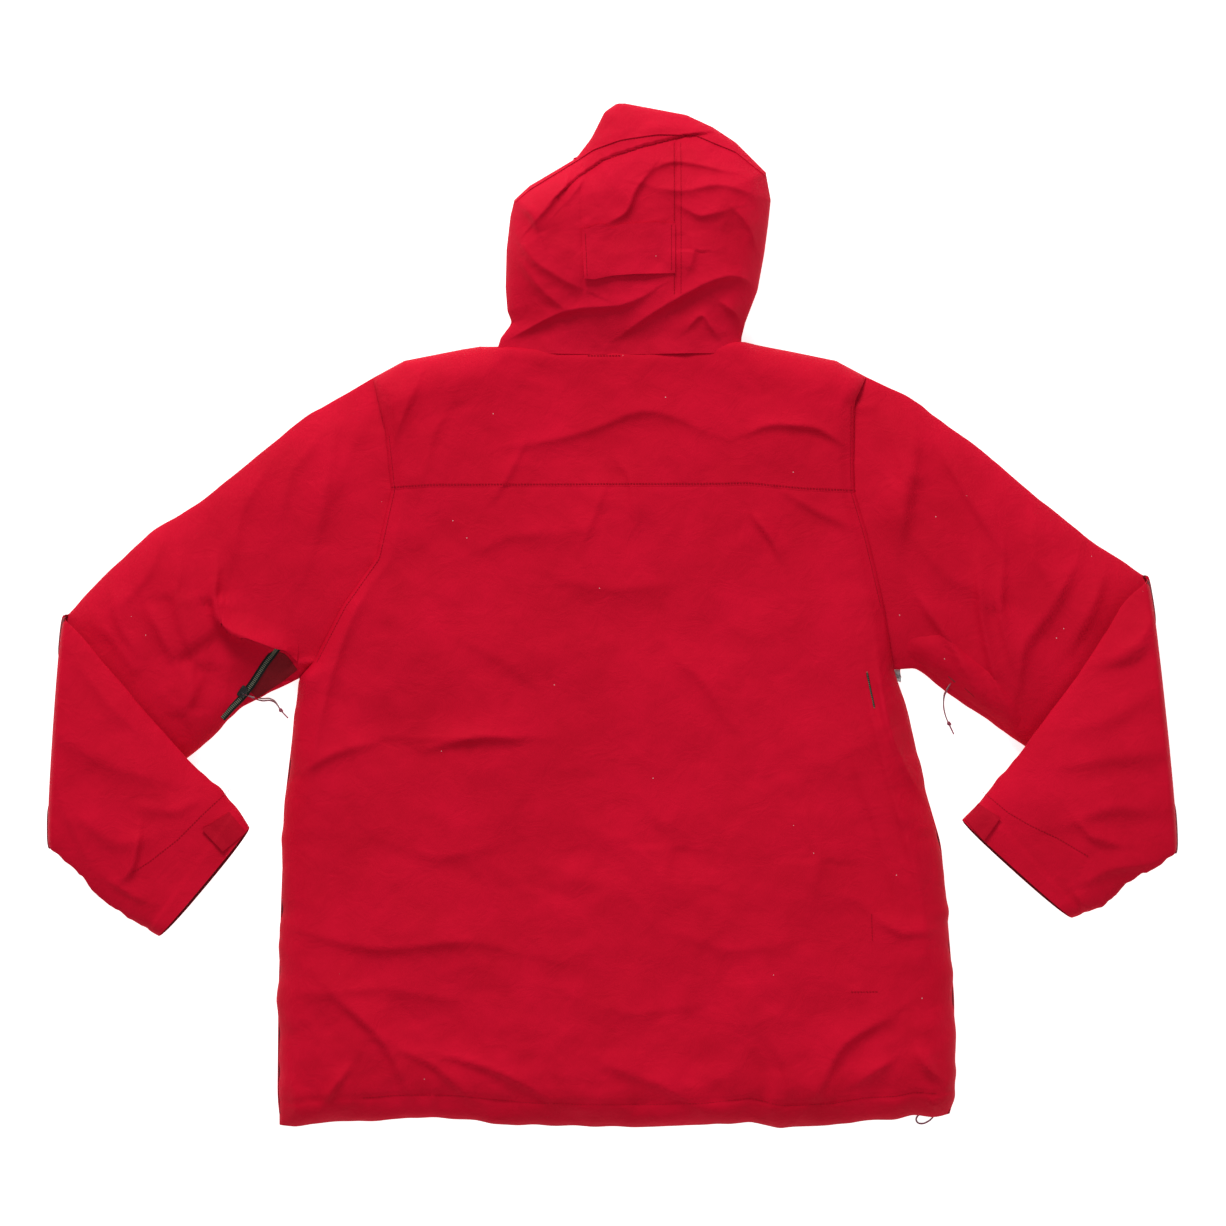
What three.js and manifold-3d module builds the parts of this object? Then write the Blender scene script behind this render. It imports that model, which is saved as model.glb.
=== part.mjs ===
// Hooded hardshell jacket, lying face down and zipped up, with both forearms folded over the sleeves.
// Units are millimetres. +Z is up from the table, +Y runs from the hem to the hood, and +X is the
// wearer's right. The origin is under the middle of the jacket, on the table.
import * as THREE from 'three';
import { mergeVertices } from 'three/addons/utils/BufferGeometryUtils.js';
import Module from 'manifold-3d';

const wasm = await Module();
wasm.setup();

// ---- Driving dimensions ------------------------------------------------------------------------

const CLOTH = 2.6; // shell cloth with its membrane and backing
const LINING = 1.2; // lining cloth, pocket bags and zip tape
const GAP = 0.4; // clearance between pieces that lie on each other
const SEAM_GAP = 0.6; // clearance between pieces that meet edge to edge
const FOLD_GAP = 2; // each side of a sleeve's fold line at the elbow
const ZIP_GAP = 0.5; // middle front to the edge of a front zip's tape

const BODY_HEIGHT = 38; // table to the top of the back
const SLEEVE_HEIGHT = 30; // thickness of a sleeve lying flat
const HOOD_RISE = 26; // how far the hood's crown stands above the back
const HOOD_EDGE_HEIGHT = 17; // height of the hood's outermost edge

const HEM_Y = -538; // bottom of the hem at the middle
const HEM_CORNER_RISE = 14; // how far the hem lifts at the side panels
const HEM_CORNER_Y = HEM_Y + HEM_CORNER_RISE;
const HEM_BAND = 25; // depth of the hem
const YOKE_SEAM_Y = 135; // seam between the yoke and the back
const NECK_SEAM_Y = 282; // seam between the yoke and the hood
const CHIN_Y = 335; // top of the front zip
const COLLAR_HEIGHT = 54; // inner collar, from the neck seam up
const SIDE_WIDTH = 42; // how far a side panel wraps onto the back and the front

const PLACKET_HALF = 45; // middle front to the edge of a front panel
const CHIN_HALF = 80; // middle front to the edge of the chin guard
const FLAP_HALF = 38; // half the width of the storm flap
const FLAP_THICK = 1.8;
const ZIP_LIFT = 10; // height of the front zip's tape above the table
const FRONT_TAPE = 1.5;
const HEM_HINGE_X = 270; // where a front's fold line meets the hem
const NECK_HINGE_X = 128; // where it meets the neck seam, the same on both sides so that the fronts open level

const CHAIN_WIDTH = 14; // zip chain with its tape
const SLOT_WIDTH = 9; // slot in a front panel over a pocket zip
const POCKET_ZIP = { x: 185, low: -442, high: -270 };
const POCKET_PULL_LENGTH = 22;
const SLIDER = { width: 8, length: 12 };

const CUFF_BAND = 0.07; // share of a forearm's length that the cuff band takes
const TAB_THICK = 2;

const HOOD_FLANGE = 38; // how far the hood's face edge turns under
const HOOD_FLANGE_START = 345; // where that edge begins, clear of the collar
const HOOD_TAB = { left: -0.27, right: 0.19, low: 0.33, high: 0.55 }; // on the hood's own grid

const CORDLOCK = { x: 315, y: HEM_CORNER_Y + 2, width: 14, length: 18, height: 9, wall: 2 };
const BUTTON_PROUD = 3.5;
const BUTTON_TRAVEL = 2;
const PIT_CORD_DIAMETER = 2;
const HEM_CORD_DIAMETER = 1.8;

// Plan points of each side: the wearer's left is at -X.
const LEFT = {
  name: 'left',
  sign: -1,
  neck: [-121, NECK_SEAM_Y - 1],
  shoulder: [-254, 251],
  armpit: [-332, -66],
  side: [[-332, -66], [-337, -109], [-347, -193], [-351, -298], [-354, -403], [-351, HEM_CORNER_Y]],
  sleeveTop: [[-254, 251], [-330, 208], [-382, 164], [-435, 122], [-487, 90], [-534, 46], [-580, -4]],
  sleeveUnder: [[-332, -66], [-393, -93], [-416, -125], [-448, -148], [-596, -248]],
  forearmTop: [[-580, -4], [-508, -78], [-448, -148], [-408, -183], [-382, -221]],
  forearmUnder: [[-596, -248], [-566, -265], [-540, -295], [-510, -316], [-477, -335]],
  tab: [[-402, -205], [-382, -223], [-409, -244], [-430, -223]],
  pitZip: [[-350, -30], [-429, -127]],
  pitSlider: [-391, -80],
  cord: [
    [-385, -86, 34.4], [-380, -90, 30], [-375, -92, 22], [-370, -92, 13], [-364, -91, 6],
    [-359, -92, 2.6], [-355, -95, 1.4], [-351.5, -99, 1.2], [-348, -103.3, 1.2], [-344.5, -107.4, 1.2],
  ],
};

const RIGHT = {
  name: 'right',
  sign: 1,
  neck: [135, NECK_SEAM_Y - 1],
  shoulder: [266, 252],
  armpit: [295, -57],
  side: [[295, -57], [310, -100], [325, -172], [345, -230], [352, -320], [359, -403], [353, HEM_CORNER_Y]],
  sleeveTop: [[266, 252], [311, 232], [389, 174], [458, 116], [510, 74], [565, 38]],
  sleeveUnder: [[295, -57], [353, -83], [389, -107], [431, -135], [594, -253]],
  forearmTop: [[565, 38], [497, -44], [431, -135], [399, -173], [365, -216]],
  forearmUnder: [[594, -253], [562, -266], [535, -280], [514, -304], [480, -316]],
  tab: [[379, -198], [365, -214], [385, -234], [402, -212]],
  pitZip: [[322, -30], [404, -110]],
  pitSlider: [357, -64],
  cord: [
    [354, -72, 34.4], [351, -78, 31], [349, -84, 24], [348, -90, 15], [348, -96, 7],
    [349, -102, 2.8], [351, -108, 1.4], [353.5, -113.5, 1.2], [356, -119, 1.2], [359, -125, 1.2],
  ],
};

const SIDES = [LEFT, RIGHT];

// Hood outline, as the x of its left and right edges at a height y, and the seam under the brim.
const HOOD_LEFT_EDGE = [[284, -121], [309, -109], [332, -112], [384, -111], [430, -105]];
const HOOD_RIGHT_EDGE = [[284, 133], [305, 138], [342, 150], [395, 160], [445, 161]];
const BRIM_SEAM = [[-105, 430], [-61, 458], [-12, 490], [43, 506], [89, 506], [130, 487], [161, 445]];
const BRIM_EDGE = [
  [-110, 442], [-93, 452], [-36, 481], [-20, 505], [-7, 531], [6, 539], [80, 526], [122, 504], [158, 470],
  [167, 452],
];
const BRIM_EDGE_HEIGHT = 14;
const BRIM_GAP = 5; // between the brim and the crown's seam

// ---- Materials ---------------------------------------------------------------------------------

const colour = (hex, roughness, metalness = 0) =>
  new THREE.MeshStandardMaterial({ color: hex, roughness, metalness });

const PAINT = {
  shell: () => colour(0xb5102b, 0.72),
  hood: () => colour(0xba1530, 0.72),
  lining: () => colour(0x3b3a3d, 0.85),
  zip: () => colour(0x1d1e1d, 0.6),
  slider: () => colour(0x151515, 0.45, 0.3),
  hook: () => colour(0x8c0f22, 0.95),
  plastic: () => colour(0x18181a, 0.4),
  cord: () => colour(0xa5475a, 0.8),
  label: () => colour(0xd9d8d2, 0.8),
};

// ---- Geometry helpers --------------------------------------------------------------------------

const lerp = (a, b, t) => a + (b - a) * t;

/** Value at x of a function given by its corner points, straight between them. */
function along(points, x) {
  const last = points.length - 1;
  for (let i = 1; i <= last; i += 1) {
    if (x <= points[i][0] || i === last) {
      const [x0, y0] = points[i - 1];
      const [x1, y1] = points[i];
      return lerp(y0, y1, Math.min(1, Math.max(0, (x - x0) / (x1 - x0))));
    }
  }
  return points[last][1];
}

/** Point at a share t of the length of a plan polyline. */
function pointAt(polyline, t) {
  const steps = polyline.slice(1).map(([x, y], i) => Math.hypot(x - polyline[i][0], y - polyline[i][1]));
  let rest = t * steps.reduce((sum, step) => sum + step, 0);
  let i = 0;
  while (i < steps.length - 1 && rest > steps[i]) {
    rest -= steps[i];
    i += 1;
  }
  const share = Math.min(1, rest / steps[i]);
  return [0, 1].map((k) => lerp(polyline[i][k], polyline[i + 1][k], share));
}

/** Point at a share t of a plan polyline counted in corners, so that equal steps land on them. */
function cornerAt(polyline, t) {
  const place = t * (polyline.length - 1);
  const i = Math.min(polyline.length - 2, Math.floor(place));
  return [0, 1].map((k) => lerp(polyline[i][k], polyline[i + 1][k], place - i));
}

/** Moves b towards a by a distance, along the straight line between them. */
function pulledBack(a, b, distance) {
  const length = Math.hypot(b[0] - a[0], b[1] - a[1]);
  return [0, 1].map((k) => lerp(b[k], a[k], distance / length));
}

/** Shifts a plan polyline sideways in x. */
const shifted = (polyline, dx) => polyline.map(([x, y]) => [x + dx, y]);

/** Geometry from corner positions and triangles, turned so that its faces point out. */
function closedGeometry(positions, triangles) {
  let volume = 0;
  for (const [a, b, c] of triangles) {
    volume += positions[a].dot(new THREE.Vector3().crossVectors(positions[b], positions[c]));
  }
  const faces = volume < 0 ? triangles.map(([a, b, c]) => [a, c, b]) : triangles;
  const geometry = new THREE.BufferGeometry();
  geometry.setAttribute('position', new THREE.Float32BufferAttribute(positions.flatMap((p) => p.toArray()), 3));
  geometry.setIndex(faces.flat());
  return geometry;
}

/** Unit normal of a surface at (u, v), from short steps either way. */
function normalAt(surface, u, v, closed) {
  const step = 1e-3;
  const inside = (value) => Math.min(1, Math.max(0, value));
  const u0 = closed ? u - step : inside(u - step);
  const u1 = closed ? u + step : inside(u + step);
  const du = surface(u1, v).sub(surface(u0, v));
  const dv = surface(u, inside(v + step)).sub(surface(u, inside(v - step)));
  return du.cross(dv).normalize();
}

/** The same surface moved off itself along its normal. */
function raised(surface, lift, closed = false) {
  return (u, v) => surface(u, v).addScaledVector(normalAt(surface, u, v, closed), lift);
}

/**
 * Cloth of an even thickness whose outer face is surface(u, v), with u and v from 0 to 1.
 * The normal du x dv points out. A closed cloth joins u = 1 to u = 0, as a sleeve does.
 */
function cloth(surface, columns, rows, thickness, closed = false) {
  const wide = closed ? columns : columns + 1;
  const positions = [];
  for (const depth of [0, thickness]) {
    for (let j = 0; j <= rows; j += 1) {
      for (let i = 0; i < wide; i += 1) {
        const u = i / columns;
        const v = j / rows;
        const point = surface(u, v);
        positions.push(depth ? point.addScaledVector(normalAt(surface, u, v, closed), -depth) : point);
      }
    }
  }
  const inner = wide * (rows + 1);
  const at = (i, j) => j * wide + (i % wide);
  const triangles = [];
  const quad = (a, b, c, d) => triangles.push([a, b, c], [a, c, d]);
  for (let j = 0; j < rows; j += 1) {
    for (let i = 0; i < columns; i += 1) {
      quad(at(i, j), at(i + 1, j), at(i + 1, j + 1), at(i, j + 1));
      quad(inner + at(i, j), inner + at(i, j + 1), inner + at(i + 1, j + 1), inner + at(i + 1, j));
    }
  }
  for (let i = 0; i < columns; i += 1) {
    quad(at(i, 0), inner + at(i, 0), inner + at(i + 1, 0), at(i + 1, 0));
    quad(at(i, rows), at(i + 1, rows), inner + at(i + 1, rows), inner + at(i, rows));
  }
  for (let j = 0; j < rows && !closed; j += 1) {
    quad(at(0, j), at(0, j + 1), inner + at(0, j + 1), inner + at(0, j));
    quad(at(columns, j), inner + at(columns, j), inner + at(columns, j + 1), at(columns, j + 1));
  }
  return closedGeometry(positions, triangles);
}

/** Flat piece with a plan outline, from z = low to z = high, with optional plan holes. */
function plate(outline, low, high, holes = []) {
  const shape = new THREE.Shape(outline.map(([x, y]) => new THREE.Vector2(x, y)));
  shape.holes = holes.map((hole) => new THREE.Path(hole.map(([x, y]) => new THREE.Vector2(x, y))));
  const geometry = new THREE.ExtrudeGeometry(shape, { depth: high - low, bevelEnabled: false });
  return geometry.translate(0, 0, low);
}

/** Plan rectangle. */
const rectangle = (x0, x1, y0, y1) => [[x0, y0], [x1, y0], [x1, y1], [x0, y1]];

/** Plan rectangle of a width around the straight line from a to b. */
function strip(a, b, width) {
  const length = Math.hypot(b[0] - a[0], b[1] - a[1]);
  const nx = (-(b[1] - a[1]) / length) * (width / 2);
  const ny = ((b[0] - a[0]) / length) * (width / 2);
  return [[a[0] + nx, a[1] + ny], [a[0] - nx, a[1] - ny], [b[0] - nx, b[1] - ny], [b[0] + nx, b[1] + ny]];
}

/** Round cord through hand-chosen points, eight sides. */
function cordTube(points, diameter, steps) {
  const curve = new THREE.CatmullRomCurve3(points.map((p) => new THREE.Vector3(...p)));
  const sides = 8;
  const section = new THREE.Shape(
    Array.from({ length: sides }, (_, i) => {
      const angle = (i / sides) * Math.PI * 2;
      return new THREE.Vector2((Math.cos(angle) * diameter) / 2, (Math.sin(angle) * diameter) / 2);
    }),
  );
  return new THREE.ExtrudeGeometry(section, { steps, extrudePath: curve });
}

/** A closed geometry as a manifold-3d solid. */
function toSolid(geometry) {
  const bare = geometry.clone();
  bare.deleteAttribute('normal');
  bare.deleteAttribute('uv');
  const merged = mergeVertices(bare, 1e-4);
  return new wasm.Manifold(
    new wasm.Mesh({
      numProp: 3,
      vertProperties: new Float32Array(merged.attributes.position.array),
      triVerts: new Uint32Array(merged.index.array),
    }),
  );
}

/** A manifold-3d solid as a geometry. */
function toGeometry(solid) {
  const mesh = solid.getMesh();
  const geometry = new THREE.BufferGeometry();
  geometry.setAttribute('position', new THREE.Float32BufferAttribute(mesh.vertProperties, 3));
  geometry.setIndex(Array.from(mesh.triVerts));
  return geometry;
}

const joined = (...pieces) => toGeometry(pieces.map(toSolid).reduce((all, next) => all.add(next)));
const cut = (body, tool) => toGeometry(toSolid(body).subtract(toSolid(tool)));

const group = new THREE.Group();

function add(name, geometry, material) {
  const mesh = new THREE.Mesh(geometry, material);
  mesh.name = name;
  group.add(mesh);
}

// ---- Heights that stack up from the table ------------------------------------------------------

const BACK_LOW = BODY_HEIGHT - CLOTH;
const CHAIN_LOW = CLOTH + GAP;
const BAG_LOW = CHAIN_LOW + LINING + GAP;
const FRONT_LINING_LOW = BAG_LOW + LINING + GAP;
const BACK_LINING_HIGH = BACK_LOW - GAP;
const BACK_LINING_LOW = BACK_LINING_HIGH - LINING;
const FOREARM_LOW = SLEEVE_HEIGHT + GAP;
const FOREARM_HIGH = FOREARM_LOW + SLEEVE_HEIGHT;

// ---- Body --------------------------------------------------------------------------------------

/** Inner edge of a side panel, top to hem, as the back and front panels meet it. */
const inset = (side, extra = 0) => shifted(side.side, -side.sign * (SIDE_WIDTH + extra));

/** Where the armhole's straight fold line crosses a height y. */
function armholeX(side, y) {
  const [x0, y0] = side.shoulder;
  const [x1, y1] = side.armpit;
  return lerp(x0, x1, (y - y0) / (y1 - y0));
}

/** Edge of the body along the armhole: the fold line, drawn back from the sleeve. */
const armholeEdge = (side, y) => [armholeX(side, y) - side.sign * SEAM_GAP * 1.5, y];

function backPanel() {
  const hem = HEM_Y + HEM_BAND;
  const edge = (side) => {
    const inner = inset(side, SEAM_GAP).filter(([, y]) => y > hem);
    const hemX = along(inset(side, SEAM_GAP).map(([x, y]) => [-y, x]), -hem);
    return [[hemX, hem], ...inner.reverse(), armholeEdge(side, side.armpit[1] + SEAM_GAP),
      armholeEdge(side, YOKE_SEAM_Y)];
  };
  return plate([...edge(RIGHT), ...edge(LEFT).reverse()], BACK_LOW, BODY_HEIGHT);
}

function hemBand() {
  const top = HEM_Y + HEM_BAND - SEAM_GAP;
  const corner = (side) => {
    const inner = inset(side, SEAM_GAP).map(([x, y]) => [-y, x]);
    return [[along(inner, -HEM_CORNER_Y) - side.sign * 30, HEM_Y], [along(inner, -HEM_CORNER_Y), HEM_CORNER_Y],
      [along(inner, -top), top]];
  };
  return plate([...corner(RIGHT), ...corner(LEFT).reverse()], BACK_LOW, BODY_HEIGHT);
}

function backYoke() {
  const low = YOKE_SEAM_Y + SEAM_GAP;
  const corner = (side) => [armholeEdge(side, low), armholeEdge(side, side.shoulder[1] - SEAM_GAP), side.neck];
  const sheet = plate([...corner(RIGHT), ...corner(LEFT).reverse()], BACK_LOW, BODY_HEIGHT);
  const wall = (side) => {
    const inner = [side.neck[0], side.neck[1] - CLOTH];
    const outer = pulledBack(inner, armholeEdge(side, side.shoulder[1] - CLOTH), CLOTH);
    return plate(strip(outer, inner, CLOTH), CLOTH + GAP, BODY_HEIGHT - CLOTH / 2);
  };
  return joined(sheet, wall(LEFT), wall(RIGHT));
}

/** C-shaped section from the back round to the front: a rounded-off box, open to the inside. */
function sidePanel(side) {
  const surface = (u, v) => {
    const [outer, corner] = cornerAt(side.side, v);
    const y = corner - SEAM_GAP * (1 - v);
    const turn = u * Math.PI;
    const across = Math.sqrt(Math.abs(Math.sin(turn)));
    const up = Math.sign(Math.cos(turn)) * Math.sqrt(Math.abs(Math.cos(turn)));
    const x = outer - side.sign * SIDE_WIDTH * (1 - across);
    return new THREE.Vector3(x, y, (BODY_HEIGHT / 2) * (1 + up));
  };
  const outward = side.sign > 0 ? surface : (u, v) => surface(1 - u, v);
  return cloth((u, v) => outward(u, 1 - v), 12, side.side.length - 1, CLOTH);
}

/** The straight line that a front folds back along, from the hem to the neck. */
function frontFold(side) {
  return [[side.sign * HEM_HINGE_X, HEM_Y], [side.sign * NECK_HINGE_X, side.neck[1]]];
}

function frontFoldX(side, y) {
  const [[x0, y0], [x1, y1]] = frontFold(side);
  return lerp(x0, x1, (y - y0) / (y1 - y0));
}

/** Part of the front outside the fold line, sewn to the side panel, the armhole and the shoulder. */
function frontSide(side) {
  const inner = inset(side, SEAM_GAP);
  const hem = HEM_CORNER_Y;
  const fold = (y) => [frontFoldX(side, y) + side.sign * SEAM_GAP, y];
  return plate(
    [
      fold(hem), ...inner.reverse(), armholeEdge(side, side.armpit[1] + SEAM_GAP),
      armholeEdge(side, side.shoulder[1] - SEAM_GAP), fold(side.neck[1] - SEAM_GAP),
    ],
    0,
    CLOTH,
  );
}

/** Part of the front from the fold line to the placket, with the slot of its hand pocket. */
function frontPanel(side) {
  const s = side.sign;
  const { x, low, high } = POCKET_ZIP;
  const outline = [
    [s * PLACKET_HALF, HEM_Y], [s * PLACKET_HALF, CHIN_Y], [s * CHIN_HALF, CHIN_Y],
    [s * (CHIN_HALF + 12), NECK_SEAM_Y + 2], frontFold(side)[1], [frontFoldX(side, HEM_Y + 6), HEM_Y + 6],
    [frontFoldX(side, HEM_Y) - s * 8, HEM_Y],
  ];
  const slot = rectangle(s * x - SLOT_WIDTH / 2, s * x + SLOT_WIDTH / 2, low, high);
  return plate(outline, 0, CLOTH, [slot]);
}

function frontLining(side) {
  const s = side.sign;
  const low = HEM_Y + HEM_BAND;
  const high = NECK_SEAM_Y - 34;
  const inner = PLACKET_HALF + 21;
  const outline = [
    [s * inner, low], [s * inner, high], [frontFoldX(side, high) - s * 3, high],
    [frontFoldX(side, low) - s * 3, low],
  ];
  return plate(outline, FRONT_LINING_LOW, FRONT_LINING_LOW + LINING);
}

/** Placket tape: lies on the front panel's edge and steps up to carry half of the front zip. */
function frontZipTape(side) {
  const s = side.sign;
  const low = CLOTH + GAP;
  const foot = PLACKET_HALF + 17;
  const step = PLACKET_HALF - 17;
  const section = [
    [foot, low], [foot, low + FRONT_TAPE], [PLACKET_HALF, low + FRONT_TAPE], [step, ZIP_LIFT + FRONT_TAPE],
    [ZIP_GAP, ZIP_LIFT + FRONT_TAPE], [ZIP_GAP, ZIP_LIFT], [step + 0.6, ZIP_LIFT], [PLACKET_HALF + 0.6, low],
  ];
  const length = CHIN_Y - HEM_Y;
  const geometry = plate(section.map(([x, z]) => [s * x, z]), 0, length);
  return geometry.rotateX(Math.PI / 2).translate(0, CHIN_Y, 0);
}

function addBody() {
  add('back_panel', backPanel(), PAINT.shell());
  add('back_yoke', backYoke(), PAINT.shell());
  add('hem_band', hemBand(), PAINT.shell());
  const liningEdge = (side, y) => Math.abs(along(inset(side, 6).map(([x, yy]) => [-yy, x]), -y));
  const low = HEM_Y + HEM_BAND + 5;
  const high = -80;
  const top = NECK_SEAM_Y - 20;
  add(
    'lining_back',
    plate(
      [
        [-liningEdge(LEFT, low), low], [liningEdge(RIGHT, low), low], [liningEdge(RIGHT, high), high],
        [RIGHT.neck[0] + 90, top - 50], [RIGHT.neck[0] - 10, top], [LEFT.neck[0] + 10, top],
        [LEFT.neck[0] - 90, top - 50], [-liningEdge(LEFT, high), high],
      ],
      BACK_LINING_LOW,
      BACK_LINING_HIGH,
    ),
    PAINT.lining(),
  );
  const trimHigh = BACK_LINING_LOW - GAP;
  add('hanger_loop', plate(rectangle(-28, 32, NECK_SEAM_Y - 32, NECK_SEAM_Y - 26), trimHigh - 1.2, trimHigh),
    PAINT.zip());
  add('size_label', plate(rectangle(-18, 22, NECK_SEAM_Y - 64, NECK_SEAM_Y - 36), trimHigh - 0.8, trimHigh),
    PAINT.label());
  for (const side of SIDES) {
    add(`side_panel_${side.name}`, sidePanel(side), PAINT.shell());
    add(`front_side_${side.name}`, frontSide(side), PAINT.shell());
    add(`front_panel_${side.name}`, frontPanel(side), PAINT.shell());
    add(`front_zip_tape_${side.name}`, frontZipTape(side), PAINT.zip());
    add(`front_lining_${side.name}`, frontLining(side), PAINT.lining());
  }
}

/** Inner collar: stands inside the hood, open at the middle front. */
function addCollar() {
  const left = HOOD_LEFT_EDGE[1][1] + CLOTH + 8;
  const right = HOOD_RIGHT_EDGE[0][1] - CLOTH - 12;
  const surface = (u, v) => {
    const turn = lerp(-40, 220, u) * (Math.PI / 180);
    const x = (left + right) / 2 + ((right - left) / 2) * Math.cos(turn);
    const y = NECK_SEAM_Y + 2 + v * COLLAR_HEIGHT;
    return new THREE.Vector3(x, y, SLEEVE_HEIGHT - 12 + 12 * Math.sin(turn));
  };
  add('collar', cloth((u, v) => surface(u, 1 - v), 14, 3, CLOTH), PAINT.lining());
}

// ---- Zips and flaps ----------------------------------------------------------------------------

function addFrontZip() {
  const sliderHigh = ZIP_LIFT - GAP;
  const pullHigh = sliderHigh - 3.6 - GAP;
  const top = CHIN_Y - 6;
  add('front_zip_slider', plate(rectangle(-6.5, 6.5, top - 18, top), sliderHigh - 3.6, sliderHigh), PAINT.slider());
  add('front_zip_pull', plate(rectangle(-3.5, 3.5, top - 48, top - 6), pullHigh - 1.6, pullHigh), PAINT.slider());
  add('storm_flap', plate(rectangle(-FLAP_HALF, FLAP_HALF, HEM_Y + 6, CHIN_Y - 4), 0, FLAP_THICK), PAINT.shell());
}

function addHandPocket(side) {
  const x = side.sign * POCKET_ZIP.x;
  const { low, high } = POCKET_ZIP;
  const across = (width) => [x - width / 2, x + width / 2];
  const sliderTop = high - 2;
  const sliderLow = sliderTop - SLIDER.length;
  add(`pocket_zip_${side.name}`,
    plate(rectangle(...across(CHAIN_WIDTH), low - 3, high + 3), CHAIN_LOW, CHAIN_LOW + LINING), PAINT.zip());
  add(`pocket_slider_${side.name}`,
    plate(rectangle(...across(SLIDER.width), sliderLow, sliderTop), GAP, CLOTH), PAINT.slider());
  add(`pocket_pull_${side.name}`,
    plate(rectangle(...across(SLIDER.width - 2), sliderLow - GAP - POCKET_PULL_LENGTH, sliderLow - GAP), GAP, 1.8),
    PAINT.slider());
  const bag = [
    [x - side.sign * 105, low - 20], [x - side.sign * 105, high - 30], [x - side.sign * 60, high + 25],
    [x + side.sign * 14, high + 20], [x + side.sign * 14, low - 20],
  ];
  add(`pocket_bag_${side.name}`, plate(bag, BAG_LOW, BAG_LOW + LINING), PAINT.lining());
}

// ---- Sleeves -----------------------------------------------------------------------------------

/** Flattened tube between two plan edges: a rounded-off box in section, from z = low up. */
function tubeSurface(top, under, low, height, margin = 0) {
  return (u, v) => {
    const [tx, ty] = pointAt(top, v);
    const [bx, by] = pointAt(under, v);
    const half = Math.hypot(tx - bx, ty - by) / 2;
    const turn = u * Math.PI * 2;
    const power = (value) => Math.sign(value) * Math.sqrt(Math.abs(value));
    const across = (power(Math.cos(turn)) * (half + margin)) / half;
    const up = power(Math.sin(turn)) * (height / 2 + margin);
    return new THREE.Vector3(
      (tx + bx) / 2 + ((tx - bx) / 2) * across,
      (ty + by) / 2 + ((ty - by) / 2) * across,
      low + height / 2 + up,
    );
  };
}

/** Part of a tube's length, from the share a to the share b of it. */
const stretch = (surface, a, b) => (u, v) => surface(u, lerp(a, b, v));

/** A plan edge of a sleeve with its first and last points drawn back along it. */
function drawnBack(edge, start, end) {
  const last = edge.length - 1;
  return [
    pulledBack(edge[1], edge[0], start), ...edge.slice(1, last), pulledBack(edge[last - 1], edge[last], end),
  ];
}

function addSleeve(side) {
  const { name } = side;
  const turned = (surface) => (u, v) => surface(1 - u, v);
  const outbound = (surface) => (side.sign < 0 ? turned(surface) : surface);
  const homebound = (surface) => (side.sign > 0 ? turned(surface) : surface);
  const sleeveEdge = (edge) => drawnBack(edge, SEAM_GAP, FOLD_GAP);
  const upper = outbound(
    tubeSurface(sleeveEdge(side.sleeveTop), sleeveEdge(side.sleeveUnder), 0, SLEEVE_HEIGHT),
  );
  add(`sleeve_upper_${name}`, cloth(upper, 20, 8, CLOTH, true), PAINT.shell());

  const forearmTop = drawnBack(side.forearmTop, FOLD_GAP, 0);
  const forearmUnder = drawnBack(side.forearmUnder, FOLD_GAP, 0);
  const forearm = homebound(tubeSurface(forearmTop, forearmUnder, FOREARM_LOW, SLEEVE_HEIGHT));
  const bandStart = 1 - CUFF_BAND;
  add(`sleeve_forearm_${name}`, cloth(stretch(forearm, 0, bandStart - 0.004), 20, 7, CLOTH, true), PAINT.shell());
  add(`cuff_band_${name}`, cloth(stretch(forearm, bandStart, 1), 20, 1, CLOTH, true), PAINT.shell());
  const lining = homebound(
    tubeSurface(forearmTop, forearmUnder, FOREARM_LOW, SLEEVE_HEIGHT, -(CLOTH + GAP) * 2),
  );
  add(`forearm_lining_${name}`, cloth(stretch(lining, 0.62, 0.975), 20, 4, LINING, true), PAINT.lining());

  const [edgeA, edgeB, endB, endA] = side.tab;
  const patchLow = FOREARM_HIGH + GAP;
  const tabLow = patchLow + LINING + GAP;
  const patch = [endA, endB, pulledBack(endB, edgeB, 12), pulledBack(endA, edgeA, 12)];
  add(`cuff_loop_patch_${name}`, plate(patch, patchLow, patchLow + LINING), PAINT.hook());
  add(`cuff_tab_${name}`, plate([edgeA, edgeB, endB, endA], tabLow, tabLow + TAB_THICK), PAINT.shell());

  const chainLow = SLEEVE_HEIGHT + GAP;
  const sliderLow = chainLow + LINING + GAP;
  const [zipStart, zipEnd] = side.pitZip;
  add(`pit_zip_${name}`, plate(strip(zipStart, zipEnd, SLOT_WIDTH), chainLow, chainLow + LINING), PAINT.zip());
  const length = Math.hypot(zipEnd[0] - zipStart[0], zipEnd[1] - zipStart[1]);
  const half = [0, 1].map((k) => ((zipEnd[k] - zipStart[k]) / length) * (SLIDER.length / 2));
  const [px, py] = side.pitSlider;
  add(`pit_slider_${name}`,
    plate(strip([px - half[0], py - half[1]], [px + half[0], py + half[1]], SLIDER.width), sliderLow, sliderLow + 3),
    PAINT.slider());
  add(`pit_cord_${name}`, cordTube(side.cord, PIT_CORD_DIAMETER, 18), PAINT.cord());
}

// ---- Hood --------------------------------------------------------------------------------------

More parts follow.
